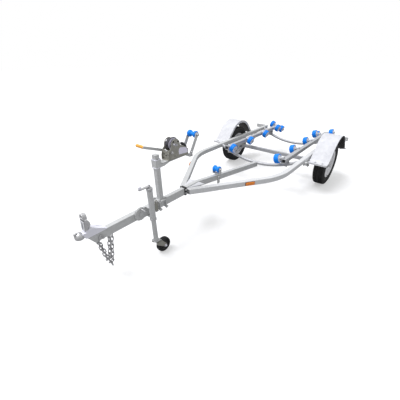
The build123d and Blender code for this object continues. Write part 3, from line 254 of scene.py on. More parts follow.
def galvanised(name, light, dark, grain=70, metal=0.3, rough=0.62):
    """Hot-dipped zinc: crystals, cloudy patches, and a faint orange-peel surface."""
    recipe = Recipe(name)
    crystals = recipe.cells(grain)
    fine = recipe.cells(grain * 3)
    clouds = recipe.noise(5, 4, 0.6)
    runs = recipe.noise(22, 2, 0.5, (1, 1, 0.25))
    shade = (crystals * 0.28 + fine * 0.12 + clouds * 0.75 + runs * 0.35 - 0.32).clamped()
    relief = (recipe.noise(160, 2) * 0.6 + crystals * 0.4, 0.18, 0.0006)
    return recipe.surface(shade, dark, light, rough - shade * 0.2, relief, Metallic=metal)


def plated(name, light, dark, metal=0.75, rough=0.3):
    """Zinc plating: satin with dull patches."""
    recipe = Recipe(name)
    patches = recipe.noise(35, 4, 0.6)
    scratches = recipe.noise(140, 2, 0.5, (1, 1, 6))
    shade = (patches * 1.1 + scratches * 0.3 - 0.2).clamped()
    return recipe.surface(shade, dark, light, rough + 0.2 - shade * 0.15, (scratches, 0.1, 0.0003), Metallic=metal)


def moulded(name, tone, rough, mottle, coat=0, grain=220, shine=0.5):
    """Moulded rubber or plastic: fine grain, a little dust and scuffing."""
    recipe = Recipe(name)
    cloud = recipe.noise(9, 3, 0.6)
    specks = recipe.noise(grain, 2, 0.6)
    dull = tinted(tone, 1 - mottle, 0.02 * mottle)
    lifted = tinted(tone, 1 + mottle * 0.5, 0.01)
    shade = (cloud * 1.3 + specks * 0.4 - 0.35).clamped()
    matt = rough + specks * 0.12 - cloud * 0.06
    relief = (specks, 0.14, 0.0004)
    return recipe.surface(shade, dull, lifted, matt, relief, Specular_IOR_Level=shine, Coat_Weight=coat)


def enamel(name, tone):
    """Silver-white wheel paint with faint road dust in cloudy patches."""
    recipe = Recipe(name)
    dust = recipe.noise(26, 4, 0.65)
    peel = recipe.noise(300, 1)
    shade = (dust * 1.5 - 0.15).clamped()
    relief = (peel, 0.06, 0.0003)
    return recipe.surface(shade, tinted(tone, 0.72), tone, 0.36 + dust * 0.12, relief, Coat_Weight=0.25)


def tyre_rubber(name, tone):
    """Black rubber with greyish scuffs and fine mould grain."""
    recipe = Recipe(name)
    scuffs = recipe.noise(18, 5, 0.7)
    grain = recipe.noise(320, 2, 0.6)
    shade = (scuffs * 1.6 - 0.55).clamped()
    relief = (grain + scuffs * 0.5, 0.22, 0.0006)
    return recipe.surface(shade, tone, tinted(tone, 2.2, 0.006), 0.62 + grain * 0.2, relief)


def woven(name, tone):
    """Winch webbing: cross ribs and lengthwise yarns."""
    recipe = Recipe(name)
    ribs = (recipe.coordinate(1) * 2600).wave() * 0.5 + 0.5
    yarns = recipe.noise(420, 2, 0.5, (1, 0.2, 1))
    shade = (ribs * 0.5 + yarns * 0.6 - 0.1).clamped()
    return recipe.surface(shade, tone, tinted(tone, 2.4, 0.01), 0.82, (ribs + yarns * 0.6, 0.35, 0.0005))


def lens(name, tone):
    """Amber lens with fine prisms across it."""
    recipe = Recipe(name)
    prisms = (recipe.coordinate(2) * 2200).wave() * 0.5 + 0.5
    cloud = recipe.noise(60, 2)
    shade = (prisms * 0.45 + cloud * 0.7 - 0.1).clamped()
    deep = (tone[0] * 0.72, tone[1] * 0.5, tone[2])
    return recipe.surface(shade, deep, tone, 0.14 + cloud * 0.1, (prisms, 0.25, 0.0004), Coat_Weight=0.5)


MATERIALS = {}


# ---------------------------------------------------------------- modelling
def clear():
    """Back to object mode with nothing selected."""
    active = bpy.context.view_layer.objects.active
    if active and active.mode != "OBJECT":
        bpy.ops.object.mode_set(mode="OBJECT")
    bpy.ops.object.select_all(action="DESELECT")


def take(piece):
    """Makes a piece the only one selected."""
    clear()
    piece.select_set(True)
    bpy.context.view_layer.objects.active = piece


def edit(piece, mode="VERT"):
    """Into edit mode with everything selected."""
    take(piece)
    bpy.ops.object.mode_set(mode="EDIT")
    bpy.ops.mesh.select_mode(type=mode)
    bpy.ops.mesh.select_all(action="SELECT")


def tidy(piece, angle=35, distance=1e-6):
    """Merges doubles, turns the faces outwards and smooths the shallow edges."""
    edit(piece)
    bpy.ops.mesh.remove_doubles(threshold=distance)
    bpy.ops.mesh.normals_make_consistent(inside=False)
    take(piece)
    bpy.ops.object.shade_smooth_by_angle(angle=radians(angle))
    return piece


def modify(piece, kind, **settings):
    """Adds a modifier, sets it and applies it."""
    take(piece)
    modifier = piece.modifiers.new(kind.title(), kind)
    for key, value in settings.items():
        setattr(modifier, key, value)
    bpy.ops.object.modifier_apply(modifier=modifier.name)
    return piece


def soften(piece, width, segments=2, angle=50):
    """Rounds the sharp edges."""
    modify(piece, "BEVEL", width=width * MM, segments=segments, limit_method="ANGLE", angle_limit=radians(angle))
    return tidy(piece, angle)


def added(data):
    """A new object that shows a mesh or a curve."""
    piece = bpy.data.objects.new("part", data)
    bpy.context.collection.objects.link(piece)
    return piece


def sketch(points, edges, faces=()):
    """A mesh object from points in millimetres."""
    mesh = bpy.data.meshes.new("part")
    mesh.from_pydata([tuple(value * MM for value in point) for point in points], edges, faces)
    return added(mesh)


def extruded(points, run, edge):
    """A plate from the corners of one face and the run to the other, with softened edges, in millimetres."""
    piece = sketch(points, (), [tuple(range(len(points)))])
    edit(piece)
    bpy.ops.mesh.extrude_region_move(TRANSFORM_OT_translate={"value": tuple(value * MM for value in run)})
    tidy(piece)
    return soften(piece, edge, angle=35) if edge else piece


def stand(place, *axes):
    """The matrix that moves to a place and turns X, Y and Z to three axes."""
    return Matrix.Translation(place) @ Matrix(axes).transposed().to_4x4()


def put(piece, place, axis, across=None):
    """Moves a piece made at the origin along +Z to its place, in its mesh, so that it points along an axis."""
    axis = Vector(axis).normalized()
    across = Vector(across or ((1, 0, 0) if abs(axis.x) < 0.9 else LEFT))
    side = axis.cross(across).normalized()
    piece.data.transform(stand(place, side.cross(axis), side, axis))
    return piece


def raised(piece, height):
    """Moves a piece along Z, in millimetres."""
    piece.data.transform(Matrix.Translation((0, 0, height * MM)))
    return piece


def lathe(outline, steps=72, angle=35, sheet=False):
    """A turned piece about Z, from (radius, along) points in millimetres.

    The outline closes on itself, unless it meets the axis or the piece is an open sheet.
    """
    count = len(outline)
    ring = not sheet and all(radius for radius, along in outline)
    edges = [(i, (i + 1) % count) for i in range(count if ring else count - 1)]
    piece = sketch([(radius, 0, along) for radius, along in outline], edges)
    edit(piece)
    bpy.ops.mesh.spin(steps=steps, angle=2 * pi, center=(0, 0, 0), axis=UP)
    return tidy(piece, angle)


def lathe_at(outline, steps, place, axis):
    """A turned piece that stands at a place in metres, along an axis."""
    return put(lathe(outline, steps), place, axis)


def both(half):
    """An outline from (radius, along) points on one side of the piece's middle."""
    return half + [(radius, -along) for radius, along in reversed(half)]


def oblong(left, right, low, high):
    """The corners of a rectangle."""
    return [(left, low), (right, low), (right, high), (left, high)]


def plate(outline, thickness, edge):
    """A flat plate at the origin, in the XY plane."""
    return extruded([(x, y, 0) for x, y in outline], (0, 0, thickness), edge)


def rod(start, end, diameter, sides=24, edge=0.8):
    """A round bar between two places in metres, with chamfered ends."""
    start, end = Vector(start), Vector(end)
    bpy.ops.mesh.primitive_cylinder_add(vertices=sides, radius=diameter / 2 * MM, depth=(end - start).length)
    piece = bpy.context.object
    if edge:
        soften(piece, edge)
    return put(piece, (start + end) / 2, end - start)


def cut(piece, tool):
    """Takes a tool's shape out of a piece."""
    modify(piece, "BOOLEAN", operation="DIFFERENCE", object=tool, solver="EXACT")
    bpy.data.objects.remove(tool)
    return tidy(piece)


def drill(piece, start, end, diameter, sides=24):
    """Takes a round hole out of a piece, between two places in metres."""
    return cut(piece, rod(start, end, diameter, sides, 0))


def wire(points, diameter, sides, turns):
    """A round wire along smooth points in metres."""
    curve = bpy.data.curves.new("part", "CURVE")
    curve.dimensions = "3D"
    curve.resolution_u = turns
    curve.bevel_depth = diameter / 2 * MM
    curve.bevel_resolution = sides
    curve.use_fill_caps = True
    spline = curve.splines.new("NURBS")
    spline.points.add(len(points) - 1)
    for point, place in zip(spline.points, points):
        point.co = (*place, 1)
    spline.order_u = 3
    spline.use_endpoint_u = True
    take(added(curve))
    bpy.ops.object.convert(target="MESH")
    return tidy(bpy.context.object, 60)


def copy(piece):
    """A copy with its own mesh."""
    return added(piece.data.copy())


def coat(piece, finish):
    """Gives the whole piece one finish."""
    piece.data.materials.clear()
    piece.data.materials.append(MATERIALS[finish])
    return piece


def coats(finish, *parts):
    """Gives several parts one finish and lists them."""
    return [coat(part, finish) for part in parts]


def join(parts):
    """Joins parts, each with its own finish, into one piece."""
    clear()
    for part in parts:
        part.select_set(True)
    bpy.context.view_layer.objects.active = parts[0]
    if len(parts) > 1:
        bpy.ops.object.join()
    clear()
    return parts[0]


def fit(name, parts, *replaces, body="chassis", slot="galvanised_steel"):
    """Joins the parts of a piece and puts it on its body, in place of the nodes it replaces."""
    piece = join(parts)
    piece.name = name
    if replaces:
        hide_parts(*replaces)
    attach(piece, body)


def hexagon(across_flats, height):
    """A hexagon nut or bolt head with chamfered corners, along +Z."""
    bpy.ops.mesh.primitive_cylinder_add(
        vertices=6, radius=across_flats / 2 / cos(radians(30)) * MM, depth=height * MM, location=(0, 0, height / 2 * MM)
    )
    bpy.ops.object.transform_apply(location=True, rotation=False, scale=False)
    return soften(bpy.context.object, height * 0.14)


def fastener(across_flats, stud):
    """A nut on its washer with the end of its bolt, standing on the origin along +Z."""
    washer, thick, reach, shank = 1.6, across_flats * 0.5, across_flats * 0.72, across_flats * 0.3
    tip = washer + thick + stud
    rest = lathe([(0, 0), (reach, 0), (reach, washer), (0, washer)], 28)
    nut = raised(hexagon(across_flats, thick), washer)
    end = lathe([(0, 0.5), (shank, 0.5), (shank, tip - 1), (shank - 1, tip), (0, tip)], 20)
    return join(coats("plated", rest, nut, end))


def scatter(master, places):
    """Copies of one part at (place, axis) pairs, joined, and the part itself taken away."""
    parts = [put(copy(master), place, axis) for place, axis in places]
    bpy.data.objects.remove(master)
    return join(parts)


def slab(outline, start, end, edge, along="Y"):
    """A shape cut from plate: its outline across one axis, from start to end along it, in millimetres.

    Along Y the outline is (ahead, up), along X it is (left, up), along Z it is (ahead, left).
    """
    axle, deep = AXLE_X / MM, end - start
    spread, run = {
        "X": (lambda a, b: (axle + start, a, b), (deep, 0, 0)),
        "Y": (lambda a, b: (axle + a, start, b), (0, deep, 0)),
        "Z": (lambda a, b: (axle + a, b, start), (0, 0, deep)),
    }[along]
    return extruded([spread(a, b) for a, b in outline], run, edge)


def choose(piece, test):
    """Selects the faces that pass a test of their middle, ready for edit mode."""
    edit(piece, "FACE")
    bpy.ops.mesh.select_all(action="DESELECT")
    bpy.ops.object.mode_set(mode="OBJECT")
    for face in piece.data.polygons:
        face.select = bool(test(face.center))
    bpy.ops.object.mode_set(mode="EDIT")


def around(count, diameter, z=0):
    """Places in metres, spaced evenly on a circle about Z, from its diameter and height in millimetres."""
    turns = [2 * pi * i / count for i in range(count)]
    return [by(cos(turn) * diameter / 2, sin(turn) * diameter / 2, z) for turn in turns]


def arc(radius, start, end, count):
    """Points round an arc about the origin, between two angles in degrees."""
    turns = [radians(start + (end - start) * i / (count - 1)) for i in range(count)]
    return [(radius * cos(turn), radius * sin(turn)) for turn in turns]


def bent(corners, radii, steps=12):
    """A path through corner points, each inner corner rounded to its own radius."""
    path = [Vector(corners[0])]
    for before, corner, after, radius in zip(corners, corners[1:], corners[2:], radii):
        into = (Vector(corner) - Vector(before)).normalized()
        out = (Vector(after) - Vector(corner)).normalized()
        turn = into.angle(out)
        start = Vector(corner) - into * radius * tan(turn / 2)
        side = (out - into * into.dot(out)).normalized()
        for step in range(steps + 1):
            swing = turn * step / steps
            path.append(start + side * radius * (1 - cos(swing)) + into * radius * sin(swing))
    return path + [Vector(corners[-1])]


def beside(path, gap):
    """A path moved sideways by a gap, to the left of the way it runs."""
    moved = []
    for i, place in enumerate(path):
        run = (path[min(i + 1, len(path) - 1)] - path[max(i - 1, 0)]).normalized()
        moved.append(place + Vector((-run.y, run.x)) * gap)
    return moved


# ---------------------------------------------------------------- places shared by several pieces
CAMERA_PLACE = (3445.3, 1497.2, 1535.3)
SENSOR = 36                   # width of the camera's sensor
FLOOR_SIZE = 120              # in metres
FLOOR_GLOW = 0.42
SUN_TILT, SUN_SPREAD = (radians(18), radians(16), 0), radians(32)
BACKDROP_SHARE = 0.5            # of the white backdrop that also lights the trailer
ROLLER_TILT = radians(18)
PIN_END = 0.036                 # from the middle of a hull roller to the nut on its pin, in metres
# letter, ahead of the axle, from the middle, height
HULL_ROLLERS = (
    ("a", 657, 330, 446), ("b", 190, 330, 446), ("c", -285, 330, 446),
    ("d", -700, 318, 462), ("e", -860, 318, 418), ("f", -897, 510, 468),
)
HUB_Y, HUB_Z = 734, 281
# size across the flats, ahead, from the middle, height and direction of the bolts on each side
BOLTS = (
    (16, (1987,), (27,), (417, 449), "out"),
    (16, (1916,), (53.5,), (786, 814), "out"),
    (24, (1834,), (53.5,), (950,), "out"),
    (18, (1462,), (47,), (486,), "out"),
    (16, (1968, 2158), (30,), (807,), "up"),
    (16, (-401, 401), (706, 792), (407,), "up"),
    (16, (-401, 401), (706, 792), (398,), "down"),
    (18, (-340, 340), (614.5,), (330,), "out"),
    (18, (-340, 340), (559.5,), (330,), "in"),
    (16, (-28.5, 28.5), (558.5, 615.5), (330.5,), "up"),
    (16, (-28.5, 28.5), (558.5, 615.5), (248.5,), "down"),
    (24, (-780,), (375.5,), (440,), "in"),
    (18, (2246, 2316), (33,), (476,), "up"),
    (18, (2246, 2316), (33,), (390,), "down"),
)


def roller_axis(sign):
    """The direction of a hull roller's pin, outboard and up."""
    return Vector((0, sign * cos(ROLLER_TILT), sin(ROLLER_TILT)))


def fit_hubs(master, name, slot, node):
    """Puts a copy of a turned piece on the hub at each side, and takes the piece itself away."""
    for side, sign in SIDES:
        piece = put(copy(master), at(0, sign * HUB_Y, HUB_Z), (0, sign, 0))
        fit(name + side, [piece], node + side, body="wheel_" + side, slot=slot)
    bpy.data.objects.remove(master)


# ---------------------------------------------------------------- operators
class TRAILER_OT_stage(bpy.types.Operator):
    """Sets up the camera, the lamps, the pale floor and the backdrop"""

    bl_idname = "trailer.stage"
    bl_label = "Camera, Lamps and Floor"

    def execute(self, context):
        studio = context.scene.trailer_studio
        turn, rise, roll = radians(studio.azimuth), radians(studio.elevation), radians(studio.roll)
        back = Vector((sin(turn) * cos(rise), -cos(turn) * cos(rise), sin(rise)))
        right = Vector((cos(turn), sin(turn), 0))
        up = back.cross(right)
        across = right * cos(roll) + up * sin(roll)
        upright = up * cos(roll) - right * sin(roll)
        clear()
        bpy.ops.object.camera_add()
        camera = context.object
        camera.name = "studio_camera"
        camera.data.lens = studio.lens
        camera.data.sensor_width = SENSOR
        camera.data.clip_start = 0.02
        camera.matrix_world = stand(at(*CAMERA_PLACE), across, upright, back)
        context.scene.camera = camera

        bpy.ops.mesh.primitive_grid_add(x_subdivisions=8, y_subdivisions=8, size=FLOOR_SIZE, location=(0, 0, 0))
        floor = context.object
        floor.name = "studio_floor"
        recipe = Recipe("Studio floor")
        seen = recipe.seen()
        tone = recipe.mix(seen, (0.33, 0.33, 0.335), (0.55, 0.55, 0.555))
        cloth = recipe.node("ShaderNodeBsdfDiffuse", {}, {"Color": tone})
        lift = recipe.node("ShaderNodeEmission", {}, {"Color": (1, 1, 1), "Strength": seen * FLOOR_GLOW})
        total = recipe.node("ShaderNodeAddShader", {}, {0: cloth.outputs[0], 1: lift.outputs[0]})
        recipe.node("ShaderNodeOutputMaterial", {}, {"Surface": total.outputs[0]})
        floor.data.materials.append(recipe.owner)

        world = Recipe("Studio", "worlds")
        share = world.seen().work("MAXIMUM", BACKDROP_SHARE)
        even = world.node("ShaderNodeBackground", {}, {"Color": (0.97, 1, 0.985), "Strength": studio.sky})
        white = world.node("ShaderNodeBackground", {}, {"Color": (1, 1, 1), "Strength": 1})
        blend = world.node("ShaderNodeMixShader", {}, {0: share, 1: even.outputs[0], 2: white.outputs[0]})
        world.node("ShaderNodeOutputWorld", {}, {"Surface": blend.outputs[0]})
        context.scene.world = world.owner

        bpy.ops.object.light_add(type="SUN", rotation=SUN_TILT)
        sun = context.object
        sun.name = "studio_key"
        sun.data.energy = studio.key
        sun.data.angle = SUN_SPREAD
        sun.data.color = (0.965, 0.965, 1)
        context.scene.view_settings.view_transform = "Standard"
        return {"FINISHED"}


class TRAILER_OT_finishes(bpy.types.Operator):
    """Makes the materials and puts them on the frame's own pieces"""

    bl_idname = "trailer.finishes"
    bl_label = "Finishes"

    def execute(self, context):
        tone = {key: tuple(getattr(context.scene.trailer_finish, key)) for key in TrailerFinish.__annotations__}
        MATERIALS.update({
            "steel": galvanised("Galvanised steel", tone["steel"], tone["steel_dark"]),
            # painted light: the brighter copy of the galvanised steel, for the left side rail only
            "rail_steel": galvanised("Bright rail steel", tone["rail"], tone["rail_dark"]),
            # painted shade: the darker copy of the galvanised steel, for the pieces under the rails
            "beam_steel": galvanised("Dull beam steel", tone["beam"], tone["beam_dark"]),
            "guard": galvanised("Guard sheet", tone["guard"], tone["guard_dark"], 30, 0.1, 0.78),
            # chain: a darker copy of the plating, partly dull patches and partly painted dark reflection
            "chain": plated("Chain steel", tone["plated"], tone["chain_dark"], 0.9, 0.26),
            "plated": plated("Plated steel", tone["plated"], tone["plated_dark"]),
            "winch": plated("Winch plate", tone["passivate"], tone["passivate_dark"], 0.4, 0.4),
            "wheel": enamel("Wheel enamel", tone["wheel"]),
            "roller": moulded("Blue roller", tone["roller"], 0.4, 0.12, shine=0.22),
            "roller_end": moulded("Roller bush", tone["roller_end"], 0.4, 0.1),
            "tyre": tyre_rubber("Tyre rubber", tone["rubber"]),
            "plastic": moulded("Black plastic", tone["plastic"], 0.42, 0.3),
            "grip": moulded("Crank grip", tone["grip"], 0.42, 0.12),
            "amber": lens("Amber lens", tone["amber"]),
            "webbing": woven("Winch webbing", tone["webbing"]),
            "decal": moulded("Bare decal", tone["decal"], 0.3, 0.06, 0.3, 90),
        })
        by_slot = {
            "galvanised_steel": "steel", "zinc_plate": "winch", "painted_steel": "wheel", "tyre": "tyre",
            "black_rubber": "tyre", "blue_rubber": "roller", "webbing": "webbing", "orange_plastic": "grip",
            "amber_plastic": "amber",
        }
        # the left side rail takes the brighter rail steel: painted light
        by_node = {"apex_strap": "plastic", "winch_handle": "steel", "rail_left": "rail_steel"}
        # painted shade: the roller beams, cross tubes and axle take the darker beam steel
        for node in ("roller_beam_left", "roller_beam_right", "front_cross_tube", "rear_cross_tube", "axle"):
            by_node[node] = "beam_steel"
        for row in frame["record"]["subparts"]:
            node = row["node"]
            coat(frame["nodes"][node], by_node.get(node, by_slot[row["material_slot"]]))
        return {"FINISHED"}


class TRAILER_OT_tyres(bpy.types.Operator):
    """Moulds the tyres with ribs, shoulder blocks and ridged sidewalls"""

    bl_idname = "trailer.tyres"
    bl_label = "Tyres"

    def execute(self, context):
        sizes = context.scene.trailer_sizes
        deep = sizes.tread_depth / MM
        wall = [
            (166, 48.5), (180, 50), (184, 51.5), (187, 57), (191, 60.5), (195, 61.5), (197, 64), (206, 68),
            (218, 71.4), (224, 72.2), (225, 73), (228, 73), (229, 72.3), (240, 71.9), (249, 70.4), (250, 71.2),
            (253, 70.6), (254, 69.2), (262, 66.6), (268, 64.2), (273, 61), (277, 56.5),
        ]
        crown = [
            (278.9, 42), (278.9 - deep, 41), (278.9 - deep, 36.5), (279.4, 35.5), (280.4, 20.5),
            (280.4 - deep, 19.5), (280.4 - deep, 15), (280.7, 14), (281, 5),
        ]
        sectors = 4                         # of the turned mesh in each tread block
        steps = sizes.tread_blocks * sectors
        tyre = lathe(both(wall + crown), steps, 40)

        # cross grooves: which sector, deeper than, bands to each side of the middle, depth
        shoulders = (0, 271, ((42, 62.5),), 5)
        ribs = (2, 278, ((-1, 5.5), (21, 35.4)), 3)
        for sector, least, bands, depth in (shoulders, ribs):
            def grooved(middle):
                reach, along = hypot(middle.x, middle.y) / MM, abs(middle.z) / MM
                turn = int(atan2(middle.y, middle.x) % (2 * pi) / (2 * pi) * steps)
                return reach > least and turn % sectors == sector and any(low < along < high for low, high in bands)

            choose(tyre, grooved)
            bpy.ops.mesh.inset(thickness=0.0002, depth=-depth * MM)
            clear()
        tidy(tyre, 30, 1e-7)
        fit_hubs(coat(tyre, "tyre"), "road_tyre_", "tyre", "tyre_")
        return {"FINISHED"}


class TRAILER_OT_wheels(bpy.types.Operator):
    """Fits the pressed wheels with nuts, a dust cap and a valve"""

    bl_idname = "trailer.wheels"
    bl_label = "Wheels"

    def execute(self, context):
        sizes = context.scene.trailer_sizes
        face = [
            (59, 22), (70, 19), (92, 15.5), (104, 17), (122, 17), (131, 14), (140, 12), (149, 14), (149, 19),
            (158, 28), (165, 31), (165, 47), (168, 50), (176, 54), (180, 55.5), (180, 59), (175, 59), (170, 57.5),
            (160.5, 52), (160.5, 34), (154, 31), (144, 21), (144, 18), (139, 17.2), (130, 19.4), (122, 22.4),
            (104, 22.4), (92, 20.8), (70, 24.2), (59, 27.2),
        ]
        barrel = [
            (149, 8), (149, -25), (165, -35), (165, -49), (177, -54), (180, -59), (175, -59), (160.5, -52),
            (160.5, -36), (144, -27), (144, 8),
        ]
        rim = tidy(join([lathe(face, 96), lathe(barrel, 96)]), 40)
        vents, vent_circle, vent_width, seat = 12, 226, 24, 26.5
        for vent in around(vents, vent_circle):
            drill(rim, vent - by(0, 0, 20), vent + by(0, 0, 50), vent_width, 28)
        soften(rim, 0.8)
        hub = lathe([
            (0, 50), (8, 50), (12, 49), (33, 47), (36, 44), (37, 28), (39, 26.5), (59, 26), (61, 24), (61, -24),
            (44, -43), (16, -44), (16, -40), (0, -40),
        ])
        cap = [(34, 45), (35.5, 45), (35.5, 49), (33.5, 51), (30, 58), (24, 62), (12, 64.5), (0, 65)]
        places = [(place, UP) for place in around(sizes.wheel_nuts, sizes.nut_circle / MM, seat)]
        nuts = scatter(fastener(sizes.wheel_nut / MM, 3), places)
        valve = [(0, 0), (6, 0), (6, 4), (4.4, 6), (4, 22), (5, 23), (5, 32), (4, 34), (0, 34)]
        valve = lathe_at(valve, 20, by(0, 168, 46), (0, -0.35, 1))
        wheel = join([
            coat(rim, "wheel"), coat(hub, "steel"), coat(lathe(cap, 64), "plated"), nuts, coat(valve, "plastic"),
        ])
        fit_hubs(wheel, "pressed_wheel_", "painted_steel", "rim_")
        return {"FINISHED"}


class TRAILER_OT_hull_rollers(bpy.types.Operator):
    """Moulds the twelve hull rollers with their bushes"""

    bl_idname = "trailer.hull_rollers"
    bl_label = "Hull Rollers"

    def execute(self, context):
        groove = context.scene.trailer_sizes.roller_groove / MM
        floor, half_way = 59 - groove, 59 - groove * 0.5
        tread = both([
            (45, 26.6), (46, 29), (49, 30), (54, 28.6), (57.4, 25), (59, 20), (59, 17), (half_way, 16.2),
            (half_way, 15.4), (59, 14.6), (59, 9.5), (half_way, 8.6), (floor, 7.5), (half_way, 6.4), (59, 5.5),
        ])
        bush = [
            (9.6, 30.6), (15, 30.6), (17, 29.6), (18, 27.9), (30, 27.4), (42, 27.4), (45.4, 28.6), (45.4, 25.6),
            (26, 25),
        ]
        tread = lathe(tread + [(24, -27), (24, 27)])
        roller = join([coat(tread, "roller"), coat(lathe(both(bush), 48), "roller_end")])
        for side, sign in SIDES:
            for letter, ahead, y, z in HULL_ROLLERS:
                node = "roller_" + side + "_" + letter
                piece = put(copy(roller), at(ahead, sign * y, z), roller_axis(sign))
                fit("hull_" + node, [piece], node, body=node, slot="blue_rubber")
        bpy.data.objects.remove(roller)
        return {"FINISHED"}


class TRAILER_OT_keel_rollers(bpy.types.Operator):
    """Moulds the waisted keel roller and bow roller"""

    bl_idname = "trailer.keel_rollers"
    bl_label = "Keel and Bow Rollers"

    def execute(self, context):
        # node, finish of the ends, ahead of the axle, height, length, end diameter, waist diameter
        rows = (
            ("bow_roller", "roller_end", 1834, 950, 93, 62, 38),
            ("keel_roller", "roller", 1462, 486, 80, 70, 54),
        )
        for node, finish, ahead, z, long, end, waist in rows:
            half, big, small = long / 2, end / 2, waist / 2
            hub = big * 0.72
            flare = [
                (small + (big - small) * (0.5 - 0.5 * cos(pi * share)), half * (0.12 + 0.5 * share))
                for share in (0, 0.2, 0.4, 0.6, 0.8, 1)
            ]
            rim = [(big, half - 7), (big - 0.8, half - 3.4), (big - 3, half - 0.8), (big - 6, half)]
            rim.append((big * 0.58, half - 1.5))
            outline = [(hub * 0.8, half - 3)] + both(flare + rim)[::-1] + [(hub * 0.8, 3 - half)]
            bush = [(9.6, half + 0.6), (14, half + 0.6), (16, half - 0.6), (hub, half - 0.8)]
            bush += [(hub, half - 4), (9.6, half - 4)]
            ends = [lathe([(radius, sign * along) for radius, along in bush], 40) for sign in (1, -1)]
            body = coat(lathe(outline[::-1], 64), "roller")
            roller = put(join([body] + coats(finish, *ends)), at(ahead, 0, z), LEFT)
            fit(node + "_moulding", [roller], node, body=node, slot="blue_rubber")
        return {"FINISHED"}


class TRAILER_OT_chains(bpy.types.Operator):
    """Bends the round wire links of the safety chains"""

    bl_idname = "trailer.chains"
    bl_label = "Safety Chains"

    def execute(self, context):
        thick = context.scene.trailer_sizes.chain_wire / MM
        # a link's length and width, half the spread of the lowest pair, play between links, drop of the link
        # that joins the strands, and the height that the top links hang from
        long, wide, foot, play, drop, hook_z = 52, 30, 12, 0.3, 2.3, 381
        bar = (long - thick) / 2
        pitch = long - 2 * thick - play
        bpy.ops.mesh.primitive_torus_add(
            major_radius=(wide - thick) / 2 * MM, minor_radius=thick / 2 * MM, major_segments=32, minor_segments=12
        )
        ring = context.object
        for vertex in ring.data.vertices:
            vertex.co.x += (long - wide) / 2 * MM * (1 if vertex.co.x > 0 else -1)
        coat(tidy(ring, 60), "chain")
        links = []

        def link(x, y, z, along, across):
            along, across = Vector(along), Vector(across)
            links.append(copy(ring))
            links[-1].data.transform(stand(at(x, y, z), along, across, along.cross(across)))

        # middle ahead of the axle, half the spread at the top, Y, links in a strand
        for middle, spread, y, count in ((2860, 44, 16, 5), (2830, 58, -16, 7)):
            strand = 2 * bar + (count - 1) * pitch
            lean = spread - foot
            fall = (strand ** 2 - lean ** 2) ** 0.5
            start = hook_z + thick / 2
            for end in (-1, 1):
                along = (-end * lean / strand, 0, -fall / strand)
                for i in range(count):
                    run = bar + i * pitch
                    across = (along[2], 0, -along[0]) if i % 2 else LEFT
                    link(middle + end * spread + run * along[0], y, start + run * along[2], along, across)
            foot_z = start - fall - drop
            link(middle, y, foot_z, (1, 0, 0), UP)
            if count == 7:
                link(middle, y, foot_z - wide / 2 + thick * 1.5 + play - bar, UP, LEFT)
        bpy.data.objects.remove(ring)
        bow = [(2892, 400), (2889, 424), (2880, 440), (2868, 440), (2860, 424), (2858, 400)]
        for y in (26, -26):
            links.append(coat(wire([at(x, y, z) for x, z in bow], 9, 4, 4), "plated"))
        fit("chain_links", links, "safety_chains", slot="zinc_plate")
        return {"FINISHED"}


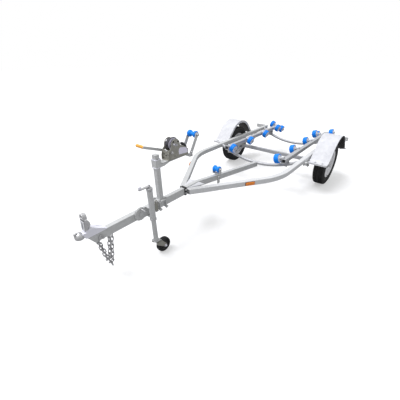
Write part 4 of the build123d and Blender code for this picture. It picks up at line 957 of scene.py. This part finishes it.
class TRAILER_OT_winch(bpy.types.Operator):
    """Builds the hand winch: pierced side plates, geared drum, wound strap, pawl and bare decal"""

    bl_idname = "trailer.winch"
    bl_label = "Winch"

    def execute(self, context):
        # drum shaft, crank shaft, top of the deck, and half the distance between the side plates' middles
        x, z, crank_x, crank_z, floor, half = 2095, 921, 2142, 866, 803, 42
        shaft, near, far = at(x, 0, z), half - 2, half + 2      # the two faces of a side plate
        head = [(x + a, z + b) for a, b in arc(50, -8, 188, 19)]
        outline = [(1948, floor), (2185, floor), (2184, floor + 40), (2170, floor + 84), (2153, z - 20)]
        outline += head + [(2030, z - 18), (2012, z - 24), (1960, z - 57), (1948, floor + 50)]
        # ahead, height, diameter
        holes = (
            (crank_x, crank_z, 27), (x, z, 17), (2118, 949, 17), (2064, 944, 17), (2004, 868, 9), (2030, 826, 8),
            (2110, 826, 8),
        )
        plates = []
        for sign in (1, -1):
            side = slab(outline, sign * near, sign * far, 0)
            for ahead, up, wide in holes:
                drill(side, at(ahead, 20 * sign, up), at(ahead, 70 * sign, up), wide)
            plates.append(soften(side, 0.8))
        plates.append(slab(oblong(1948, 2185, -44, 44), floor, floor + 4, 1, "Z"))
        front = [
            (-44, floor), (44, floor), (44, floor + 84), (20, floor + 84), (16, floor + 70), (-16, floor + 70),
            (-20, floor + 84), (-44, floor + 84),
        ]
        front = slab(front, 2166, 2170, 0, "X")
        for y, up in ((-24, floor + 46), (0, floor + 34), (24, floor + 46)):
            drill(front, at(2150, y, up), at(2190, y, up), 15)
        plates += [soften(front, 0.8), rod(at(2004, -43, 868), at(2004, 43, 868), 11)]
        clip = [(2117, 937), (2079, 923), (2076, 917), (2080, 911), (2085, 911), (2121, 925), (2124, 931), (2122, 936)]
        clip = slab(clip, far, far + 4, 1.2)
        parts = coats("winch", *plates) + coats("roller_end", clip)
        fit("winch_side_plates", parts, "winch_frame", slot="zinc_plate")

        # bracket on the post
        bore = oblong(2258.7, 2303.3, -22.6, 22.6)
        sleeve = slab(oblong(2253, 2309, -28.3, 28.3), 768, 843, 0, "Z")
        soften(cut(sleeve, slab(bore, 760, 850, 0, "Z")), 2, 3)
        # the bands at the sleeve's top and bottom take the pale bush finish: painted highlight on the sleeve's edges
        bands = []
        for low in (768, 837):
            band = slab(oblong(2251, 2311, -30, 30), low, low + 6, 0, "Z")
            bands.append(soften(cut(band, slab(bore, low - 9, low + 15, 0, "Z")), 1.5))
        deck = slab(oblong(1938, 2253, -33, 33), 797, 803, 1, "Z")
        skirt = [(1938, 801), (1938, 793), (2165, 790), (2222, 773), (2253, 773), (2253, 801)]
        skirts = [slab(skirt, y, y + 6, 1) for y in (-33, 27)]
        # pale bands: painted highlight
        parts = coats("steel", sleeve, deck, *skirts) + coats("roller_end", *bands)
        fit("winch_bracket_weldment", parts, "winch_bracket")

        pawl = [
            (2010, 904), (2004, 915), (1992, 917), (1980, 908), (1952, 876), (1950, 866), (1960, 860), (1974, 866),
            (1996, 890),
        ]
        fit("winch_pawl", coats("plastic", slab(pawl, 6, 32, 2.5)), slot="zinc_plate")
        label = [(1957, 821), (2060, 829), (2065, 856), (2058, 877), (2042, 887), (1982, 874), (1956, 848)]
        decal = slab(label, far, far + 0.5, 0)
        fit("winch_decal", coats("decal", decal), slot="zinc_plate")

        # gear and drum, made along +Z and laid across the trailer
        teeth, windows, window_circle, gear_width = 46, 5, 44, 8
        ring = []
        for tooth in range(teeth):
            for share, reach in ((0, 44.6), (0.3, 44.9), (0.42, 48.4), (0.62, 48.4), (0.74, 44.9)):
                turn = 2 * pi * (tooth + share) / teeth
                ring.append((cos(turn) * reach, sin(turn) * reach))
        gear = plate(ring, gear_width, 0.4)
        for window in around(windows, window_circle):
            drill(gear, window - by(0, 0, 20), window + by(0, 0, 30), 7, 20)
        raised(gear, near - 1 - gear_width)
        flange = lathe([
            (8, -39), (36, -39), (38, -37.6), (38.6, -35.6), (37, -34.6), (35, -35.4), (24, -35.4), (22, -34), (22, 8),
            (54, 8), (55, 9.5), (55, 11.5), (54, 12), (22, 12), (22, 31), (27, 31.5), (27, 40), (8, 40), (8, 48),
            (0, 48),
        ])
        rim = lathe([(54.2, 6.4), (58, 6), (59.4, 8), (59.4, 12), (58, 14), (54.2, 13.6)])
        stub = lathe([(0, -48), (7, -48), (8, -47), (8, -38)], 32)
        nuts = scatter(fastener(19, 2), [(by(0, 0, -far - 0.5), DOWN)])
        parts = [coat(gear, "plastic"), coat(flange, "decal"), coat(rim, "plastic"), coat(stub, "plated"), nuts]
        drum = put(join(parts), shaft, LEFT)
        fit("winch_drum_and_gear", [drum], "winch_drum", body="winch_drum", slot="zinc_plate")

        # strap, wound in a spiral
        turns, steps, core, depth, wide, start = 9, 40, 23.4, 17.6, 40, -33
        path = []
        for i in range(steps * turns + 1):
            swing, reach = 2 * pi * i / steps, core + depth * i / (steps * turns)
            path.append((cos(swing) * reach, sin(swing) * reach, start))
        strap = sketch(path, [(i, i + 1) for i in range(steps * turns)])
        edit(strap)
        bpy.ops.mesh.extrude_region_move(TRANSFORM_OT_translate={"value": (0, 0, wide * MM)})
        clear()
        tidy(modify(strap, "SOLIDIFY", thickness=0.0016, offset=0), 30)
        strap = put(coat(strap, "webbing"), shaft, LEFT)
        fit("winch_strap_winding", [strap], "winch_strap", body="winch_drum", slot="webbing")

        # crank
        arm_y, arm, lift = -far - 21, 206, radians(20)
        places = [(at(crank_x, arm_y, crank_z), RIGHT), (at(crank_x, far + 0.5, crank_z), LEFT)]
        fit("crank_nuts", [scatter(fastener(19, 2), places)], body="winch_crank", slot="zinc_plate")
        shape = [(6.4, 0), (10, 0), (11.5, 2), (11.5, 6), (10.4, 10)]
        for start in (15, 27.5, 40, 52.5, 65):
            shape += [(11.4, start), (13, start + 3), (13, start + 8), (11.4, start + 10.5)]
        shape += [(12, 80), (13.4, 84), (13, 88), (9, 92), (6.4, 92)]
        end = at(crank_x + arm * cos(lift), arm_y - 1, crank_z + arm * sin(lift))
        grip = put(coat(lathe(shape, 48), "grip"), end, RIGHT)
        fit("winch_grip_moulding", [grip], "winch_grip", body="winch_crank", slot="orange_plastic")
        return {"FINISHED"}


class TRAILER_OT_coupling(bpy.types.Operator):
    """Presses the ball coupling with its cup, housing, lug and lift handle"""

    bl_idname = "trailer.coupling"
    bl_label = "Ball Coupling"

    def execute(self, context):
        cup = [(0, 26)] + arc(26, 90, -27, 14)[1:] + [(30, -11.8)] + arc(33.5, -20.5, 90, 14)[:-1] + [(0, 33.5)]
        ball = at(3006, 0, 492)
        cup = lathe_at(cup, 64, ball, UP)
        body = slab([
            (2816, 468), (2816, 475), (2826, 478), (2868, 500), (2905, 526), (2922, 532), (2960, 532), (2968, 514),
            (2985, 520), (2990, 508), (2984, 482), (2973, 468),
        ], -30, 30, 0)
        soften(body, 7, 4, 60)
        edit(body)
        bpy.ops.mesh.bisect(plane_co=at(0, 0, 468.3), plane_no=UP)
        clear()
        tidy(body, 50)
        ridge = [(2828, 470), (2828, 483), (2870, 505), (2900, 520), (2900, 470)]
        ridges = [slab(ridge, y - 1.5, y + 1.5, 1) for y in (29, -29)]
        lug = slab([(3015, 500), (3015, 532), (3034, 532), (3040, 524), (3038, 500)], -6, 6, 2)
        neck = slab([(2960, 480), (2962, 508), (2980, 516), (2998, 518), (3000, 494)], -13, 13, 3)
        parts = coats("plated", cup, lug, neck) + coats("roller_end", body, *ridges)
        fit("coupling_pressing", parts, "coupling")

        # lift handle: a channel that opens backwards, with a rounded grip on top and a slot under it
        wide, low, high = 26, 522, 652
        side = [(-wide + 4, low), (-wide, low + 30), (-wide, high - 54)]
        face = slab(side + [(-y, z) for y, z in reversed(side)], 2958, 2963, 0, "X")
        slit = [(-10, low + 8), (4, low + 8), (5, high - 66), (-8, high - 62)]
        soften(cut(face, slab(slit, 2940, 2980, 0, "X")), 1.2)
        crown = [(a * wide / 24, high - 24 + b) for a, b in arc(24, 180, 0, 17)]
        grip = slab([(-wide, high - 42)] + crown + [(wide, high - 42)], 2934, 2963, 0, "X")
        hollow = [
            (-15, high - 34), (-15, high - 20), (-9, high - 11), (9, high - 11), (15, high - 20), (15, high - 34),
        ]
        soften(cut(grip, slab(hollow, 2957, 2990, 0, "X")), 4, 4)
        cheek = [(2934, high - 45), (2962, high - 45), (2962, low + 2), (2948, low), (2938, low + 26)]
        flanges = [slab(cheek, y, y + 4, 1.2) for y in (-wide, wide - 4)]
        # a black web inside the channel, seen through the slot and the gap under the grip: painted shade
        shade_web = [(-wide + 4, low + 2), (-wide + 4, high - 40), (wide - 4, high - 40), (wide - 4, low + 2)]
        shade_web = slab(shade_web, 2953, 2956, 0, "X")
        trigger = [(2936, 534), (2922, 540), (2915, 556), (2917, 576), (2926, 592), (2937, 600), (2937, 566)]
        trigger = slab(trigger, 6, 22, 3)
        pin = rod(at(2950, -31, 536), at(2950, 31, 536), 11, 24, 1.2)
        parts = coats("guard", face) + coats("plated", trigger, grip, pin, *flanges) + coats("plastic", shade_web)
        handle = join(parts)
        lean, foot = -0.10, 0.600
        shear = Matrix.Identity(4)
        shear[0][2] = lean
        shear[0][3] = -lean * foot
        handle.data.transform(shear)
        fit("coupling_lift_handle", [handle], "coupling_handle")
        return {"FINISHED"}


class TRAILER_OT_jockey(bpy.types.Operator):
    """Dresses the jockey wheel: crank with knob, tube cap, latch pin, tyre and hub"""

    bl_idname = "trailer.jockey"
    bl_label = "Jockey Wheel"

    def execute(self, context):
        # the tube and the top of it, the crank's reach, and the clamp's pivot and outer face
        x, y, top, reach, pivot_x, pivot_z, clamp_y = 2446, 89, 676, 88, 2521, 445, 34
        boss = [(0, 0), (12, 0), (12, 4), (10, 6), (10, 16), (12, 17), (12, 18), (0, 18)]
        boss = lathe_at(boss, 32, at(x, y, top + 0.4), UP)
        bar = [(x + a, y + b) for a, b in arc(12, 90, 270, 9)]
        bar += [(x + reach + a, y + b) for a, b in arc(12, -90, 90, 9)]
        bar = slab(bar, top + 10.5, top + 18, 1.2, "Z")
        knob = [(0, 0), (8, 0), (8.6, 3), (12.4, 6), (13, 16), (12, 24), (7, 28), (0, 28.6)]
        knob = lathe_at(knob, 40, at(x + reach, y, top + 18), UP)
        tip = put(fastener(13, 2), at(x, y, top + 18.2), UP)
        parts = coats("plated", boss, bar) + coats("roller_end", knob) + [tip]
        fit("jockey_crank_and_knob", parts, "jockey_crank", body="jockey_swing")

        cap = [(13, 0.4), (23, 0.4), (25.2, -1), (25.2, -16), (24.1, -16), (24.1, -24)]
        cap = put(lathe(cap, 48, sheet=True), at(x, y, top), UP)
        modify(cap, "SOLIDIFY", thickness=0.0008, offset=1)
        collar = [(24.1, 0), (27, 0), (28, 1.4), (28, 16), (27, 17.4), (24.1, 17.4)]
        parts = [cap, lathe_at(collar, 48, at(x, y, 377), UP)]
        rivet = [(0, 0), (5, 0), (4.6, 2), (2.5, 3.4), (0, 3.8)]
        for a, b in arc(43, 20, 300, 5):
            parts.append(lathe_at(rivet, 20, at(pivot_x + a, clamp_y + 0.2, pivot_z + b), LEFT))
        latch = [
            (0, 0), (9, 0), (9, 4), (7.5, 5), (7.5, 27), (6, 29), (3.2, 29), (3.2, 40), (8, 41), (8.6, 46), (7, 48),
            (0, 48),
        ]
        parts.append(lathe_at(latch, 28, at(pivot_x - 12, clamp_y, pivot_z + 40), LEFT))
        fit("jockey_clamp_fittings", coats("plated", *parts), body="jockey_swing")

        wheel_x, wheel_z, fork_half = x - 73, 70, 34.5
        tread = both([(48, -17), (52, -24), (58, -25), (64, -22), (68, -17), (70, -9)])
        hub = both([(8.5, -25), (14, -25), (16, -22), (18, -10), (40, -8), (45, -12), (49, -17.5), (50, -15)])
        sleeve = [(8.5, -29), (12, -29), (12, -24), (8.5, -24)]
        parts = [coat(lathe(tread), "tyre"), coat(lathe(hub, 64), "plastic")]
        bosses = [lathe([(radius, sign * along) for radius, along in sleeve], 32) for sign in (1, -1)]
        wheel = put(join(parts + coats("roller_end", *bosses)), at(wheel_x, y, wheel_z), LEFT)
        fit("jockey_wheel_and_hub", [wheel], "jockey_wheel", body="jockey_wheel", slot="black_rubber")
        places = [(at(wheel_x, y + sign * fork_half, wheel_z), (0, sign, 0)) for sign in (1, -1)]
        nuts = coat(scatter(fastener(17, 2), places), "roller_end")
        fit("jockey_axle_nuts", [nuts], body="jockey_castor")

        # fork: two slanting plates under a bridge, on the pin that turns in the leg
        cheek = [
            (x + 22, 159.5), (x - 30, 159.5), (wheel_x - 13, 84), (wheel_x - 16, 72), (wheel_x - 13, 60),
            (wheel_x, 54), (wheel_x + 12, 59), (wheel_x + 18, 68), (x + 22, 130),
        ]
        plates = [slab(cheek, y + sign * (fork_half - 4), y + sign * fork_half, 1.2) for sign in (1, -1)]
        bridge = oblong(x - 34, x + 24, y - fork_half, y + fork_half)
        bridge = slab(bridge, 149.5, 159.5, 1.5, "Z")
        pin = rod(at(x, y, 155), at(x, y, 193), 24)
        axle = rod(at(wheel_x, y - fork_half, wheel_z), at(wheel_x, y + fork_half, wheel_z), 16)
        parts = coats("winch", *plates) + coats("plated", bridge, pin, axle)
        fit("jockey_fork_plates", parts, "jockey_fork", body="jockey_castor")
        return {"FINISHED"}


class TRAILER_OT_fastenings(bpy.types.Operator):
    """Bolts the frame together: nuts, washers and pin ends"""

    bl_idname = "trailer.fastenings"
    bl_label = "Nuts and Bolts"

    def execute(self, context):
        chassis = {16: [(at(ahead, 27.3, up), LEFT) for ahead, up in ((1452, 384), (1472, 404))], 18: [], 24: []}
        for side, sign in SIDES:
            ways = {"out": (0, sign, 0), "in": (0, -sign, 0), "up": UP, "down": DOWN}
            for size, row, sides, levels, way in BOLTS:
                places = [at(ahead, sign * y, up) for ahead in row for y in sides for up in levels]
                chassis[size] += [(place, ways[way]) for place in places]
            axis = roller_axis(sign)
            rocker = []
            for letter, ahead, y, z in HULL_ROLLERS:
                middle = at(ahead, sign * y, z)
                inner = (middle - axis * PIN_END, -axis)
                if letter in "abc":
                    chassis[24].append(inner)
                elif letter == "f":
                    chassis[24].append((middle + axis * PIN_END, axis))
                else:
                    rocker.append(inner)
            rocker = scatter(fastener(24, 3), rocker)
            fit("rocker_nuts_" + side, [rocker], body="rocker_" + side)
        groups = [scatter(fastener(size, 3), places) for size, places in chassis.items()]
        fit("frame_nuts_and_bolts", groups)

        # a dark clamp round the drawbar in front of the winch post
        plates = [slab(oblong(2334, 2366, 382, 494), sign * 21.4, sign * 27, 2) for sign in (1, -1)]
        places = ((2350, 481), (2342, 390), (2358, 390))
        bolts = [rod(at(ahead, -34, up), at(ahead, 34, up), 11) for ahead, up in places]
        parts = coats("winch", *plates) + coats("plated", *bolts)
        fit("drawbar_clamp", parts)

        # gussets that close the corners between the drawbar and the rails
        corner = [(1972, 21.2), (1790, 21.2), (1790, 101), (1962, 25)]
        gussets = [
            slab([(ahead, sign * y) for ahead, y in corner][::sign], 456, 461, 0.8, "Z") for sign in (1, -1)
        ]
        fit("apex_gussets", coats("guard", *gussets))
        return {"FINISHED"}


class TRAILER_OT_guards(bpy.types.Operator):
    """Bends the mudguards over the wheels, with a turned-down inboard edge and a rolled outboard one"""

    bl_idname = "trailer.guards"
    bl_label = "Mudguards"

    def execute(self, context):
        thick = context.scene.trailer_sizes.bead / MM
        inner, outer, sheet_thick, lip_depth = 630, 852, 3, 30      # the first two from the trailer's middle
        corners = [(436, 404), (366, 404), (139, 665), (-139, 665), (-366, 404), (-436, 404)]
        path = bent(corners, (70, 290, 290, 70))
        arch = bent(corners[1:-1], (290, 290))
        edge = beside(arch, lip_depth)
        edge[0], edge[-1] = Vector((326, 404)), Vector((-326, 404))
        for side, sign in SIDES:
            near, far = sign * inner, sign * outer
            sheet = slab(path + beside(path, -sheet_thick)[::-1], near, far, 0.8)
            lip = slab(arch + edge[::-1], near, near + sign * sheet_thick, 0.8)
            feet = [slab(oblong(a, a + 3, 387, 405), near, far, 0.8) for a in (433, -436)]
            bead = wire([at(place.x, far - sign * 3.6, place.y + 1.5) for place in path], thick, 3, 2)
            # a black sheet along the underside of the guard's sheet: painted shade inside the arch
            painted_shade_lining = slab(beside(path, 0.7) + beside(path, -0.1)[::-1], near + sign * 4, far - sign * 4, 0)
            parts = coats("guard", sheet, lip, bead, *feet) + coats("plastic", painted_shade_lining)
            fit("mudguard_" + side, parts, "guard_" + side)
        return {"FINISHED"}


class TRAILER_OT_markers(bpy.types.Operator):
    """Moulds the amber side markers on their black bases"""

    bl_idname = "trailer.markers"
    bl_label = "Side Markers"

    def execute(self, context):
        # the rails' angle, the bend where they start to run in, the marker's place, and half a rail's width
        splay, bend_x, bend_y, ahead, up, rail = radians(33.2), 1132, 587, 1433, 431, 0.027
        y = bend_y - (ahead - bend_x) * tan(splay)
        parts = []
        for sign in (1, -1):
            outward = Vector((sin(splay), sign * cos(splay), 0))
            along = Vector((-cos(splay), sign * sin(splay), 0))
            face = at(ahead, sign * y, up) + outward * rail
            base = plate(oblong(-52, 52, -19, 19), 4, 1.5)
            glass = raised(soften(plate(oblong(-49, 49, -16.5, 16.5), 10, 0), 3.5, 4), 3.8)
            screw = [(0, 13.2), (2.6, 13.2), (3.4, 14.2), (2.6, 15), (0, 15.2)]
            screws = [lathe_at(screw, 16, by(shift, 0, -1.2), UP) for shift in (-40, 40)]
            for part in coats("plastic", base) + coats("amber", glass) + coats("plated", *screws):
                parts.append(put(part, face, outward, along))
        fit("side_marker_lenses", parts, "side_markers", slot="amber_plastic")
        return {"FINISHED"}


OPERATORS = (
    TRAILER_OT_stage, TRAILER_OT_finishes, TRAILER_OT_tyres, TRAILER_OT_wheels, TRAILER_OT_hull_rollers,
    TRAILER_OT_keel_rollers, TRAILER_OT_chains, TRAILER_OT_winch, TRAILER_OT_coupling, TRAILER_OT_jockey,
    TRAILER_OT_fastenings, TRAILER_OT_guards, TRAILER_OT_markers,
)


class TRAILER_PT_panel(bpy.types.Panel):
    """Lists the settings and the steps that dress the trailer"""

    bl_idname = "TRAILER_PT_panel"
    bl_label = "Boat Trailer"
    bl_space_type = "VIEW_3D"
    bl_region_type = "UI"
    bl_category = "Trailer"

    def draw(self, context):
        for group in (context.scene.trailer_finish, context.scene.trailer_sizes, context.scene.trailer_studio):
            box = self.layout.box()
            for key in type(group).__annotations__:
                box.prop(group, key)
        for operator in OPERATORS:
            self.layout.operator(operator.bl_idname)


CLASSES = (TrailerFinish, TrailerSizes, TrailerStudio) + OPERATORS + (TRAILER_PT_panel,)


def register():
    for item in CLASSES:
        bpy.utils.register_class(item)
    bpy.types.Scene.trailer_finish = PointerProperty(type=TrailerFinish)
    bpy.types.Scene.trailer_sizes = PointerProperty(type=TrailerSizes)
    bpy.types.Scene.trailer_studio = PointerProperty(type=TrailerStudio)


def unregister():
    for key in ("trailer_finish", "trailer_sizes", "trailer_studio"):
        delattr(bpy.types.Scene, key)
    for item in reversed(CLASSES):
        bpy.utils.unregister_class(item)


def main():
    register()
    for operator in OPERATORS:
        group, step = operator.bl_idname.split(".")
        getattr(getattr(bpy.ops, group), step)()
    clear()


if __name__ == "__main__":
    main()
